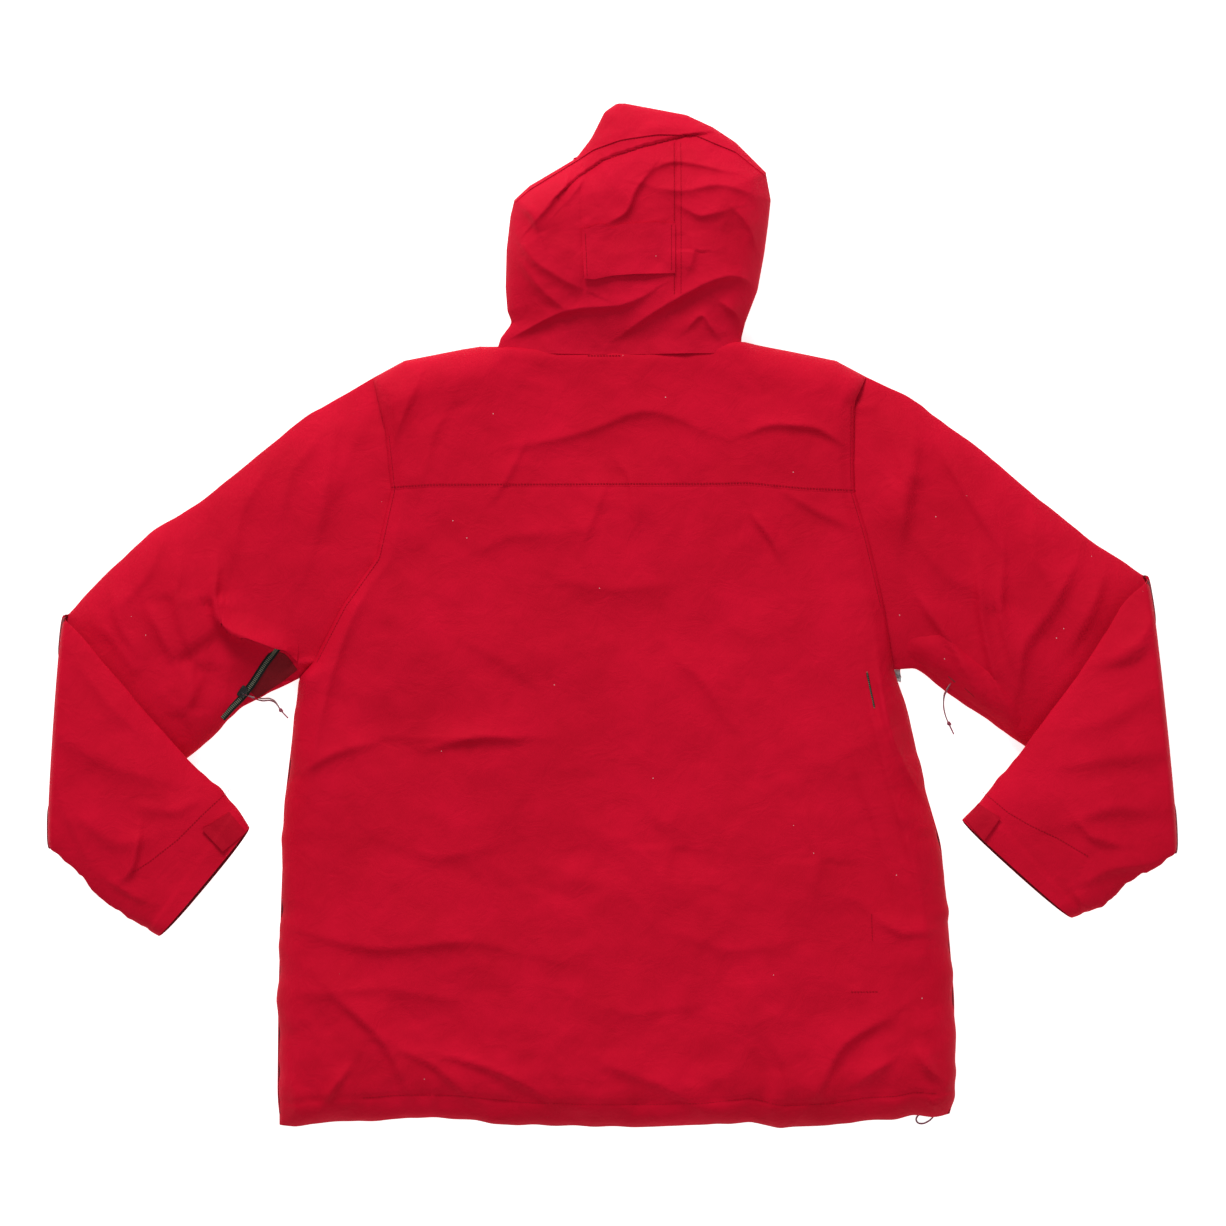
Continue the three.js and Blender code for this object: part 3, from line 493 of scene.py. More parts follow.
def edge_x(name, y):
    """x of the body's outline on one side, at each y."""
    return np.interp(y, EDGE[name][:, 1], EDGE[name][:, 0])


def hem_y(x):
    """y of the hem at each x."""
    return np.interp(x, HEM_CURVE[:, 0], HEM_CURVE[:, 1])


# %% [markdown]
# ## The back and the yoke
# The back lies on the padding and the sleeves, 37 mm up, and rolls down to the table at its edges. One
# height function serves both pieces, so they meet at the yoke's seam.

# %% Height of the back
SLEEVE_THICK = 30.0
HEM_TUNNEL = 26  # the hem's stitch row lies this far above its edge
LINING_DEPTH, LABEL_DEPTH, HANGER_DEPTH = 4.2, 7.2, 7.5  # below the back's outer face
EDGE_SHARE = 0.27  # a laid sleeve's edge is this share of its thickness above the table
EDGE_Z = 1 + SLEEVE_THICK * EDGE_SHARE


def pillow(a, power=2.6):
    """Height across a laid tube, 1 in the middle and 0 at its edges: (1 - |a|^power)^0.6."""
    return (1 - np.abs(np.clip(a, -1, 1)) ** power) ** 0.6


BACK_FOLDS = [
    ([(-96, 178), (-64, 184), (-13, 198), (30, 220), (72, 206), (104, 190)], 4.5, 11),
    ([(0, 166), (18, 146), (23, 89)], 3.5, 7),
    ([(-91, 186), (-112, 143), (-130, 118)], 3, 6),
    ([(-5, 146), (-34, 71)], 3, 8),
    ([(138, 190), (160, 201), (213, 198), (231, 186), (246, 176)], 5.5, 7),
    ([(145, 107), (165, 80), (175, 59)], 6, 7),
    ([(175, 132), (215, 108), (252, 92)], 4, 9),
    ([(-205, 245), (-222, 210), (-239, 160), (-252, 100)], 6, 11),
    ([(-170, 225), (-190, 190), (-199, 150)], 3, 12),
    ([(-291, 9), (-318, -49), (-330, -103), (-337, -160)], 6, 9),
    ([(-236, 90), (-262, 30), (-290, -40), (-310, -110), (-322, -190)], 6, 14),
    ([(-200, -140), (-139, -126), (-103, -128)], 6, 8),
    ([(-330, -165), (-290, -142), (-250, -133)], 5, 10),
    ([(-249, -128), (-150, -130), (-60, -129)], 1.8, 5),
    ([(262, -36), (266, -62), (271, -88), (280, -118)], -3, 7),
    ([(-170, -20), (-110, -50), (-60, -90)], 3, 16),
    ([(-60, 40), (0, 26), (64, 34)], 3, 16),
    ([(60, -40), (96, -70), (120, -112)], 4, 12),
    ([(-160, 60), (-110, 84), (-60, 86)], 3, 14),
    ([(-294, -398), (-259, -427), (-240, -448), (-211, -507)], 7, 9),
    ([(-184, -462), (-158, -465), (-109, -483), (-61, -512)], 7, 8),
    ([(-227, -454), (-189, -470), (-151, -507)], 6, 8),
    ([(-275, -472), (-290, -490), (-304, -512)], 6, 6),
    ([(-330, -330), (-250, -352), (-150, -338), (-90, -356)], 5, 13),
    ([(-316, -400), (-250, -388), (-160, -405)], 3, 12),
    ([(291, -419), (239, -448), (208, -510)], 8, 12),
    ([(293, -465), (253, -491)], 6, 8),
    ([(158, -440), (180, -470), (190, -512)], 4, 10),
    ([(274, -40), (279, -76), (284, -110), (301, -156), (321, -186), (342, -219)], 8, 8),
    ([(299, -80), (325, -160), (343, -240)], 6, 7),
    ([(262, -30), (266, -90), (290, -180), (318, -270), (330, -350)], 6, 12),
    ([(240, -60), (250, -150), (286, -250), (300, -330)], 4, 14),
    ([(268, -312), (300, -334), (344, -330)], 4, 8),
    ([(190, -200), (216, -250), (206, -310)], 3, 14),
    ([(-250, -230), (-190, -256), (-120, -240)], 3, 14),
    ([(20, -180), (60, -230), (50, -290)], 3, 16),
    ([(-40, -400), (20, -420), (90, -408)], 3, 16),
    ([(60, -330), (120, -352), (180, -344)], 3, 14),
    ([(-10, -470), (50, -492), (96, -520)], 5, 10),
    ([(316, -455), (330, -478), (346, -490)], 6, 6),
    ([(324, -500), (334, -514), (350, -520)], 5, 5),
]


def back_height(x, y):
    """Height of the outer cloth over the body: the flat back, rolled down at sides, hem and shoulders, with
    padding hills, crumples, long folds, the hem's tunnel and the gathers beside it."""
    from_left, from_right = x - edge_x("left", y), edge_x("right", y) - x
    to_side = np.maximum(np.minimum(from_left, from_right), 0)
    to_hem = np.maximum(y - hem_y(x), 0)
    to_top = nearest(x, y, YOKE_TOP)[0]
    over_armpit = np.where(from_left < from_right, (y - 92) / 159, (y - 97) / 155)
    neck = ease((x + 140) / 30) * ease((155 - x) / 30)
    side_roll = 42 - 24 * ease((y + 120) / 80)
    lift = np.maximum(
        pillow(over_armpit) * (1 - ease(to_side / side_roll)) * (y > -70),
        neck * (1 - ease(to_top / 40)),
    )
    low = EDGE_Z + (SLEEVE_THICK * 0.75 - 1) * lift - 3 * (1 - ease(to_hem / 60))
    k = roll(to_side, side_roll) * roll(to_hem + 1, 58) ** 0.8 * roll(to_top, 36 - 24 * neck)
    z = low + (BACK_TOP - 1 - low) * k
    calm = ease(to_side / 30) * ease(to_top / 30) * ease((to_hem + 6) / 30)
    z = z + calm * (2.4 * hills(x, y, 170, 3) + 1.4 * creases(x, y, 105, 11) + 0.8 * creases(x, y, 46, 23))
    z = z + (0.35 + 0.65 * calm) * (2.6 + 1.4 * ease((-y - 100) / 300)) * crumple(x, y, 84, 301)
    z = z + 1.3 * ease((-y - 370) / 90) * crumple(x, y, 36, 77)
    z = z + (0.3 + 0.7 * calm) * folds(x, y, BACK_FOLDS)
    gathers = np.exp(-(((to_hem - 28) / 20) ** 2))
    z = z + gathers * 3.0 * facets(x, y * 0.45, 19, 305, 0.1) * ease(to_side / 10)
    z = z - 1.2 * np.exp(-(((to_hem - HEM_TUNNEL) / 2.2) ** 2))
    z = z + 1.8 * facets(x, y * 0.3, 30, 308, 0.1) * (1 - ease(to_hem / 30))
    return z + groove(x, y, YOKE_SEAM, 0.2, 1.4)


# %% The two pieces
def body_plan(low_line, high_line, rows, columns):
    """Grid between two lines across the body, its side edges on the outlines; columns crowd at the edges."""
    u = np.linspace(0, 1, columns)
    u = 0.7 * u + 0.3 * (0.5 - 0.5 * np.cos(np.pi * u))
    low, high = line(low_line, 400, 1), line(high_line, 400, 1)
    v = np.linspace(0, 1, rows)[:, None]
    y_left = low[0, 1] + (high[0, 1] - low[0, 1]) * v
    y_right = low[-1, 1] + (high[-1, 1] - low[-1, 1]) * v
    x_left, x_right = edge_x("left", y_left), edge_x("right", y_right)
    x = x_left + (x_right - x_left) * u[None]
    y_low, y_high = np.interp(x, low[:, 0], low[:, 1]), np.interp(x, high[:, 0], high[:, 1])
    return np.stack([x, y_low + (y_high - y_low) * v], -1)


back_plan = body_plan([(-353, -537)] + list(map(tuple, HEM_CURVE[2:])), YOKE_SEAM, 200, 216)
back_grid = with_height(back_plan, back_height(*plan_xy(back_plan)))
back = laid_cloth("back_panel_cloth", back_grid, SHELL_AND_LINING, "root", "shell_red", "back_panel",
                  "hem_band")
yoke_plan = body_plan(YOKE_SEAM, YOKE_TOP, 60, 190)
yoke_grid = with_height(yoke_plan, back_height(*plan_xy(yoke_plan)) + 0.15)
yoke = laid_cloth("back_yoke_cloth", yoke_grid, SHELL_AND_LINING, "root", "shell_red", "back_yoke")
print("back and yoke:", len(back.data.polygons) + len(yoke.data.polygons), "faces")

# %% [markdown]
# ## The front's sides
# Outside each fold line the front belongs to the body: a sheet on the table that curls up to the side seam,
# the armhole and the shoulder, where it meets the back.

# %% Front sides
FRONT_HEM_X, FRONT_NECK_X = 270, 128


def front_side(name):
    """Sheet between the fold line and the body's outline, low on the table and curled up at that outline."""
    side, s = SIDES[name], SIDES[name]["sign"]
    rows, columns = 120, 26
    outer = line([(s * abs(side["side"][0][0]), -525)] + side["side"][1:] + [side["shoulder"]], rows)
    inner = line([(s * FRONT_HEM_X, -525), (s * FRONT_NECK_X, 279)], rows, 0)
    u = np.linspace(0, 1, columns)[None, :, None]
    plan = inner[:, None] * (1 - u) + outer[:, None] * u
    to_edge = nearest(*plan_xy(plan), outer)[0]
    to_top = nearest(*plan_xy(plan), [(s * FRONT_NECK_X, 281), side["shoulder"]])[0]
    z = 2.2 + (EDGE_Z - 3) * np.maximum(1 - roll(to_edge, 34), 1 - roll(to_top, 30))
    laid_cloth(f"front_side_{name}_cloth", with_height(plan, z), SHELL_AND_LINING, "root", "shell_red",
               f"front_side_{name}", f"side_panel_{name}", facing="down")


for side_name in SIDES:
    front_side(side_name)

# %% [markdown]
# ## Sleeves
# A laid sleeve is a flattened tube: round at its edges, resting on the table, and highest in the middle. The
# forearm is the same tube folded back over it. At the elbow each tube closes in half of the fold's round.

# %% A laid tube
def laid_tube(top, under, low, high, rows, columns, share=EDGE_SHARE, power=2.6):
    """Rings between two plan edges. A ring's point at angle t lies cos t across, above the tube's edge by the
    pillow height on one half and below it on the other."""
    t, b = line(top, rows, 3), line(under, rows, 3)
    run = np.linspace(0, 1, rows) * 300
    bulge = np.stack([hills(run, run * 0 + row, 26, 351) + 0.5 * hills(run, run * 0 + row, 11, 353)
                      for row in (50, 100)])
    bulge *= 1.6 * ease(np.minimum(run, 300 - run) / 30)
    away = (t - b) / np.linalg.norm(t - b, axis=1, keepdims=True)
    t, b = t + away * bulge[0][:, None], b - away * bulge[1][:, None]
    angle = np.linspace(0, 2 * np.pi, columns, endpoint=False)[None]
    a = np.cos(angle)
    over = np.sin(angle) >= 0
    mid, half = (t + b) / 2, (t - b) / 2
    plan = mid[:, None] + half[:, None] * a[..., None]
    edge = low + (high - low) * share
    z = np.where(over, edge + (high - edge) * pillow(a, power), edge - (edge - low) * pillow(a))
    return plan, np.broadcast_to(z, plan.shape[:2]).copy(), a, over


ELBOW_RINGS, ELBOW_BULGE = 6, 11  # rings of the elbow's half round, and how far it stands out


SLEEVE_FOLDS = {
    "left": [
        ([(-416, 51), (-420, 10), (-414, -13), (-391, -22), (-362, -33), (-336, -40)], 11, 8),
        ([(-300, 200), (-340, 150), (-352, 90)], 5, 14),
        ([(-288, 216), (-300, 150), (-310, 90)], 5, 11),
        ([(-252, 226), (-300, 120), (-330, 30)], 4, 16),
        ([(-350, 180), (-392, 110), (-400, 60)], 5, 14),
        ([(-470, 90), (-490, 40), (-520, 10)], 5, 12),
        ([(-452, 70), (-462, 10), (-440, -40), (-446, -90)], 6, 14),
        ([(-492, 12), (-470, -30), (-455, -60)], 6, 12),
        ([(-530, 30), (-520, -10), (-500, -40)], 5, 8),
        ([(-560, 0), (-530, -20), (-500, -60)], 4, 10),
        ([(-430, -60), (-450, -100), (-440, -130)], 5, 10),
    ],
    "right": [
        ([(317, 23), (340, -10), (357, -33), (384, -94)], 8, 9),
        ([(282, 220), (306, 150), (300, 70)], 5, 12),
        ([(329, 198), (351, 159), (392, 92), (410, 64)], 6, 10),
        ([(318, 200), (315, 150), (302, 82)], 5, 9),
        ([(382, 60), (384, 0), (400, -70), (420, -125)], 8, 9),
        ([(410, 60), (404, 0), (418, -50)], 6, 9),
        ([(490, 60), (456, 0), (430, -30), (424, -80)], 7, 10),
        ([(520, 50), (500, 0), (474, -40)], 6, 10),
        ([(300, 100), (350, 40), (400, 20)], 4, 16),
        ([(440, 110), (440, 60), (470, 20)], 4, 14),
    ],
}
FOREARM_FOLDS = {
    "left": [
        ([(-560, -50), (-530, -90), (-490, -128)], 4, 14),
        ([(-590, -120), (-520, -160), (-450, -178)], 4, 16),
        ([(-494, -225), (-502, -264), (-512, -276)], 7, 6),
        ([(-560, -210), (-520, -240), (-480, -232)], 4, 14),
        ([(-484, -301), (-508, -290), (-530, -276)], 4, 6),
        ([(-580, -190), (-560, -232), (-548, -262)], 4, 12),
        ([(-430, -190), (-456, -206), (-500, -200)], 4, 10),
    ],
    "right": [
        ([(568, 0), (548, -30), (520, -44)], 6, 8),
        ([(566, -24), (540, -44), (508, -52)], 6, 8),
        ([(574, -70), (520, -110), (470, -120)], 3, 16),
        ([(590, -140), (520, -150), (450, -160)], 4, 14),
        ([(570, -206), (520, -200), (480, -214), (460, -222)], 5, 12),
        ([(480, -212), (499, -232), (530, -240)], 6, 8),
        ([(590, -250), (550, -262), (520, -264), (490, -280)], 6, 9),
        ([(481, -288), (490, -303), (500, -312)], 5, 5),
    ],
}


PIT_FLAP = [(-412, -6), (-404, -18), (-394, -23), (-385, -23), (-369, -29), (-354, -35), (-345, -36),
            (-333, -48)]


def armhole_pull(name, plan, along, over, a):
    """Draws the top cloth's inner end in to the curved armhole, fading out along the sleeve."""
    side = SIDES[name]
    (sx, sy), (ax, ay) = side["shoulder"], side["armpit"]
    y = plan[..., 1]
    seam = np.interp(y, *np.array(side["armhole"], float).T[::-1])
    straight = ax + (sx - ax) * (y - ay) / (sy - ay)
    inside = (y > ay) & (y < sy)
    fade = np.clip(1 - along / 0.4, 0, 1) ** 2
    pull = (seam - straight - side["sign"] * 7) * fade * np.minimum(1, pillow(a) * 1.6)
    return np.where(over & inside, pull, 0)


def sleeve_upper(name):
    """Upper sleeve: a laid tube with its folds, tied to the back's height along the armhole seam."""
    side = SIDES[name]
    rows, columns = 110, 144
    plan, z, a, over = laid_tube(side["sleeve_top"], side["sleeve_under"], 0.3, SLEEVE_THICK, rows, columns)
    along = np.linspace(0, 1, rows)[:, None]
    plan[..., 0] += armhole_pull(name, plan, along, over, a)
    x, y = plan_xy(plan)
    relief = folds(x, y, SLEEVE_FOLDS[name]) + 1.2 * creases(x, y, 90, 31) + 2.6 * crumple(x, y, 70, 331)
    calm_ends = ease(along / 0.06) * (1 - 0.8 * ease((along - 0.8) / 0.2))
    z += np.where(over, relief * pillow(a) ** 0.7, 0) * calm_ends
    seam_x = np.interp(y, *np.array(side["armhole"], float).T[::-1])
    past_seam = np.maximum(side["sign"] * (x - seam_x), 0)
    under_seam = back_height(seam_x, y) - 0.7
    tied = np.where(over, 1 - ease(past_seam / 34), 0) * pillow(a) ** 0.2
    z = z * (1 - tied) + under_seam * tied
    if name == "left":
        off, at, sign = nearest(x, y, PIT_FLAP)
        sunk = np.where(sign < 0, ease(off / 8), 0) * ease(at / 0.15) * ease((1 - at) / 0.04)
        z = np.where(over, z - sunk * 6 * pillow(a) * (1 - ease((off - 50) / 30)), z)
    return finish_tube(f"sleeve_{name}_cloth", plan, z, a, SLEEVE_THICK, -1)


def finish_tube(label, plan, z, a, hinge_z, turn):
    """Adds the half round of the elbow's fold: rings that step outwards by a sine while the outer sheet comes
    round to the hinge's height by a cosine."""
    end, before = plan[-1], plan[-6]
    outward = (end - before).mean(0)
    outward /= np.linalg.norm(outward)
    rings_plan, rings_z = [plan], [z]
    for step in np.linspace(0, 1, ELBOW_RINGS + 1)[1:]:
        phi = step * np.pi / 2
        near = hinge_z + turn * 3 * step
        bulge = outward * ELBOW_BULGE * np.sin(phi) * (0.3 + 0.7 * np.sqrt(pillow(a[0])))[:, None]
        rings_plan.append((end + bulge)[None])
        rings_z.append((near + (z[-1] - near) * np.cos(phi))[None])
    grid = with_height(np.concatenate(rings_plan), np.concatenate(rings_z))
    return cloth_piece(label, grid, SHELL_AND_CUFF, ring=True, facing="out"), grid


def forearm(name):
    """Forearm folded back over the sleeve: a laid tube on top of it, with the cuff's band at its mouth."""
    side = SIDES[name]
    rows, columns = 92, 132
    low = SLEEVE_THICK + 0.6
    # from the cuff to the elbow, so that the fold's round comes last
    along = np.linspace(0, 1, rows)[:, None]
    share = 0.42 + (0.98 - EDGE_SHARE - 0.42) * ease(along)
    power = 2.6 + 5 * (1 - ease(along / 0.35))
    plan, z, a, over = laid_tube(side["forearm_top"][::-1], side["forearm_under"][::-1], low,
                                 2 * SLEEVE_THICK, rows, columns, share, power)
    mouth = (plan[0] - plan[4]).mean(0)
    mouth /= np.linalg.norm(mouth)
    reach = np.where(over, 2.6, 4.8) * pillow(a) ** 0.7 * (1 - ease(along / 0.12))
    plan += mouth * reach[..., None]
    x, y = plan_xy(plan)
    relief = folds(x, y, FOREARM_FOLDS[name]) + 1.2 * creases(x, y, 90, 41) + 2.4 * crumple(x, y, 74, 341)
    z += np.where(over, relief * pillow(a) ** 0.7, 0) * (0.35 + 0.65 * ease(along / 0.12))
    z -= np.where(over, 2.5 * (1 - ease(along / 0.3)) * pillow(a), -3 * (1 - ease(along / 0.12)) * pillow(a))
    band = 1.2 * (1 - ease((along - 0.075) / 0.012))
    z += np.where(over, band, -0.3 * band)
    return finish_tube(f"forearm_{name}_cloth", plan, z, a, low, 1)


SLEEVE_GRIDS, FOREARM_GRIDS = {}, {}
for side_name, side in SIDES.items():
    sleeve, SLEEVE_GRIDS[side_name] = sleeve_upper(side_name)
    (sx, sy), (ax, ay) = side["shoulder"], side["armpit"]
    out = np.array([sy - ay, ax - sx], float)
    out *= side["sign"] * np.sign(out[0]) / np.linalg.norm(out)
    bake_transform(sleeve)
    place(sleeve, None, "shell_red", f"sleeve_upper_{side_name}")
    arm, FOREARM_GRIDS[side_name] = forearm(side_name)
    place(arm, f"forearm_{side_name}", "shell_red", f"sleeve_forearm_{side_name}", f"cuff_band_{side_name}")
print("sleeves done")

# %% [markdown]
# ## Hood
# The hood lies on its face opening, a soft dome with a brim beyond its front seam. It bends at the neck seam
# where it joins the body.

# %% Hood height
HOOD_LEFT = [(-124, 276), (-119, 292), (-107, 308), (-112, 320), (-114, 345), (-113, 385), (-109, 420),
             (-105, 436)]
HOOD_RIGHT = [(134, 276), (134, 292), (138, 308), (151, 342), (158, 380), (162, 410), (165, 437),
              (160, 464)]
HOOD_SEAM = [(-105, 436), (-89, 450), (-21, 492), (7, 501), (46, 507), (86, 507), (104, 499), (127, 490),
             (160, 464)]
BRIM_EDGE = [(-105, 437), (-89, 452), (-40, 481), (-24, 502), (-10, 530), (3, 539), (12, 539), (76, 527),
             (104, 514), (128, 498), (160, 466)]
HOOD_OUTLINE = HOOD_LEFT[:-1] + BRIM_EDGE + HOOD_RIGHT[::-1][1:]
HOOD_TOP = BOXES["hood_center_panel"][1][2]
HOOD_FOLDS = [
    ([(-122, 285), (-89, 301), (-57, 319), (-29, 322), (-13, 324), (9, 321), (41, 340)], 5.5, 6),
    ([(5, 292), (37, 315), (74, 336), (108, 353), (133, 359), (150, 344)], 6.5, 7),
    ([(76, 300), (92, 317), (102, 300), (112, 288)], 3.5, 5),
    ([(39, 466), (22, 445), (14, 420), (-6, 410)], 5.5, 6),
    ([(39, 466), (60, 476), (86, 472), (120, 464)], 4, 6),
    ([(-46, 470), (-50, 448), (-72, 424), (-84, 410)], 6, 8),
    ([(-30, 480), (-34, 452), (-52, 430)], 4, 8),
    ([(40, 448), (70, 442), (110, 452), (148, 440)], 5, 11),
    ([(120, 430), (140, 410), (150, 384)], 4, 8),
    ([(-105, 400), (-84, 370), (-52, 350), (-30, 340)], 6, 12),
    ([(-100, 372), (-76, 340), (-48, 318)], 5, 9),
    ([(-100, 430), (-86, 420), (-78, 400)], 6, 8),
    ([(66, 430), (90, 416), (120, 424)], 4, 8),
    ([(80, 400), (84, 380), (78, 360)], 3, 7),
    ([(110, 330), (128, 316), (136, 300)], 5, 8),
]


def hood_height(x, y):
    """Height of the hood: a dome above its outline, lower towards the neck seam, with its folds and seams."""
    to_edge = nearest(x, y, HOOD_OUTLINE)[0]
    neck = 1 - ease((y - 272) / 110)
    crown = HOOD_TOP - 5 - 21 * neck - 8 * ease((y - 430) / 90)
    low = 22 + 4 * neck
    z = low + (crown - low) * roll(to_edge, 74) ** 1.05
    calm = ease(to_edge / 22)
    z = z + calm * (1.6 * hills(x, y, 80, 51) + 1.0 * creases(x, y, 60, 53) + 2.6 * crumple(x, y, 54, 361))
    z = z + (0.25 + 0.75 * calm) * 1.15 * folds(x, y, HOOD_FOLDS) * ease((y - 278) / 24)
    second = [(-59, 439), (-38, 460), (-10, 479), (30, 492), (74, 504), (90, 506)]
    rise = nearest(x, y, second)
    z = z - 3.4 * np.exp(-((rise[0] / 10) ** 1.3)) * (rise[2] < 0)
    z = z + groove(x, y, [(66, 500), (66, 336)], 1.2, 2.0) + groove(x, y, [(-34, 470), (-32, 340)], 0.8, 2.0)
    return z


# %% Hood pieces
crown_plan = patch([(-124, 276), (0, 274), (134, 276)], HOOD_RIGHT, HOOD_SEAM, HOOD_LEFT, 150, 160)
crown_grid = with_height(crown_plan, hood_height(*plan_xy(crown_plan)))
crown = cloth_piece("hood_cloth", crown_grid, HOOD_AND_LINING)
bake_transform(crown)
place(crown, None, "hood_red", "hood_center_panel", "hood_side_left", "hood_side_right")

brim_low = [(x, y - 3) for x, y in HOOD_SEAM]
brim_plan = patch(brim_low, [(160, 461), (160, 466)], BRIM_EDGE, [(-105, 433), (-105, 437)], 26, 104, 1)
brim_lift = 1.6 * (1 - ease((nearest(*plan_xy(brim_plan), HOOD_SEAM)[0] - 3) / 12))
brim_grid = with_height(brim_plan, hood_height(*plan_xy(brim_plan)) + brim_lift - 0.4)
laid_cloth("hood_brim_cloth", brim_grid, HOOD_AND_LINING, "hood", "hood_red", "hood_brim")


# %% Face edge of the hood, under it
def ring_inside(outline, centre, shares, heights, count):
    """Strip under an outline: the outline drawn in towards a centre, once for each share. Each row's height
    is its own share of the hood's height at the outline, plus its own rise."""
    outer = line(outline, count, 1)
    top = hood_height(outer[:, 0], outer[:, 1])
    rows = [np.c_[centre + (outer - centre) * share, top * part + rise]
            for share, (part, rise) in zip(shares, heights)]
    return np.stack(rows)


facing_grid = ring_inside(HOOD_OUTLINE, np.array([22.0, 396.0]), (0.997, 0.999, 0.99, 0.965, 0.86, 0.74),
                          ((1, 0.2), (0.65, 0), (0.3, 0), (0, 2.6), (0, 2.2), (0, 4.5)), 150)
laid_cloth("hood_face_edge", facing_grid, HOOD_AND_LINING, "hood", "hood_red", facing="down")

# %% Hood tab and its pile
TAB_TOP = [(-34, 404), (-27, 404), (-13, 410), (-1, 404), (5, 409), (41, 411), (64, 410)]
TAB_LOW = [(-31, 352), (-21, 351), (-3, 355), (22, 357), (64, 358)]
tab_plan = patch(TAB_LOW, [(64, 358), (64, 410)], TAB_TOP, [(-31, 352), (-34, 404)], 26, 46, 1)
tx, ty = plan_xy(tab_plan)
tab_lift = 1.9 + 3.4 * (1 - ease((ty - 352) / 22)) * (1 - ease((tx - 30) / 34)) + 1.2 * hills(tx, ty, 22, 61)
tab_grid = with_height(tab_plan, hood_height(tx, ty) + tab_lift)
laid_cloth("hood_tab_cloth", tab_grid, [PAINTS["hood_red"]], "hood_tab", "hood_red", "hood_tab", thick=2.0)
pile_plan = patch([(-28, 358), (4, 360)], [(4, 360), (4, 398)], [(-28, 398), (4, 398)],
                  [(-28, 358), (-28, 398)], 14, 14, 0)
pile_grid = with_height(pile_plan, hood_height(*plan_xy(pile_plan)) + 0.7)
laid_cloth("hood_pile_patch", pile_grid, [PAINTS["loop_pile"]], "hood", "hook_red", "hood_loop_patch",
           thick=0.6)

# %% [markdown]
# ## Cuffs, tabs and zips
# Small pieces lie on the sleeves, so their height is read from the sleeve's own grid under them.

# %% Height on a finished grid
def on_grid(grid, x, y):
    """Height of a tube's upper half at plan points: the nearest points' mean, weighed by 1/distance²."""
    p = grid[:, : grid.shape[1] // 2 + 1].reshape(-1, 3)
    flat = np.stack([np.ravel(x), np.ravel(y)], -1)
    p = p[(p[:, 0] > flat[:, 0].min() - 20) & (p[:, 0] < flat[:, 0].max() + 20)
          & (p[:, 1] > flat[:, 1].min() - 20) & (p[:, 1] < flat[:, 1].max() + 20)]
    d = ((flat[:, None] - p[None, :, :2]) ** 2).sum(-1)
    near = np.argsort(d, axis=1)[:, :5]
    w = 1 / (np.take_along_axis(d, near, 1) + 0.5)
    return ((p[near, 2] * w).sum(1) / w.sum(1)).reshape(np.shape(x))


# %% [markdown]
# ## Cuff tabs
# A tab of shell is sewn to the cuff's corner and holds on a patch of pile. It lies on the forearm's surface,
# a little lifted at its free end.

# %% Cuff tabs and pile patches
# the sewn end at the cuff's corner, then the free end on the band; each starts at the point nearer the mouth
CUFF_TABS = {
    "left": ([(-384, -226), (-402, -205)], [(-408, -246), (-430, -223)]),
    "right": ([(367, -213), (381, -196)], [(386, -235), (403, -211)]),
}
TAB_GRIDS = {}


def cuff_tab(name):
    """Tab that wraps the cuff: from its sewn end at the corner, over the band, a little lifted at its end."""
    sewn, free = CUFF_TABS[name]
    plan = patch([sewn[0], free[0]], free, [sewn[1], free[1]], sewn, 22, 30, 0)
    x, y = plan_xy(plan)
    lifted = 1.6 * (1 - ease(nearest(x, y, free)[0] / 10))
    grid = TAB_GRIDS[name] = with_height(plan, on_grid(FOREARM_GRIDS[name], x, y) + 1.7 + lifted)
    piece = cloth_piece(f"cuff_tab_{name}_cloth", grid, [PAINTS["tab_red"]], thick=1.3)
    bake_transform(piece)
    place(piece, None, "shell_red", f"cuff_tab_{name}")
    x, y = x * 0.8 + x.mean() * 0.2, y * 0.8 + y.mean() * 0.2
    pile = with_height(np.stack([x, y], -1), on_grid(FOREARM_GRIDS[name], x, y) + 0.3)
    laid_cloth(f"cuff_pile_{name}", pile, [PAINTS["loop_pile"]], f"forearm_{name}", "hook_red",
               f"cuff_loop_patch_{name}", thick=0.5)
    print("cuff tab", name, "rises to", round(grid[..., 2].max(), 1), "mm")


for side_name in SIDES:
    cuff_tab(side_name)


# %% [markdown]
# ## Linings
# The lining is a second skin just inside the shell, seen at the cuffs and from below. It is the shell's own
# surface drawn in, so it can't come through it.

# %% Linings
def lining_tube(name):
    """Lining of a forearm: its own tube inside the outer one, drawn in from it on all sides."""
    grid = FOREARM_GRIDS[name][4:-12]
    middle = grid.mean(1, keepdims=True)
    inner = middle + (grid - middle) * np.array([0.955, 0.955, 0.80])
    laid_cloth(f"forearm_{name}_lining", inner, CUFF_LINING, f"forearm_{name}", "lining_grey",
               f"forearm_lining_{name}", thick=0.5, ring=True, facing="out")


for side_name in SIDES:
    lining_tube(side_name)
lining_low = [(x, y + 18) for x, y in [(-353, -537)] + HEM[1:]]
lining_high = [(x * 0.98, y - 16) for x, y in YOKE_TOP]
lining_plan = body_plan(lining_low, lining_high, 110, 80)
lining_plan[..., 0] *= 0.955
lining_z = back_height(*plan_xy(lining_plan)) - LINING_DEPTH + hills(*plan_xy(lining_plan), 60, 71)
lining_grid = with_height(lining_plan, lining_z)
laid_cloth("back_lining_cloth", lining_grid, LINING, "root", "lining_grey", "lining_back", thick=0.5,
           facing="down")


# %% [markdown]
# ## The fronts
# They are hidden under the jacket as it lies, and open on their fold lines. Each has a hand pocket with a
# coil zip, half of the front zip on a raised tape, and a lining.

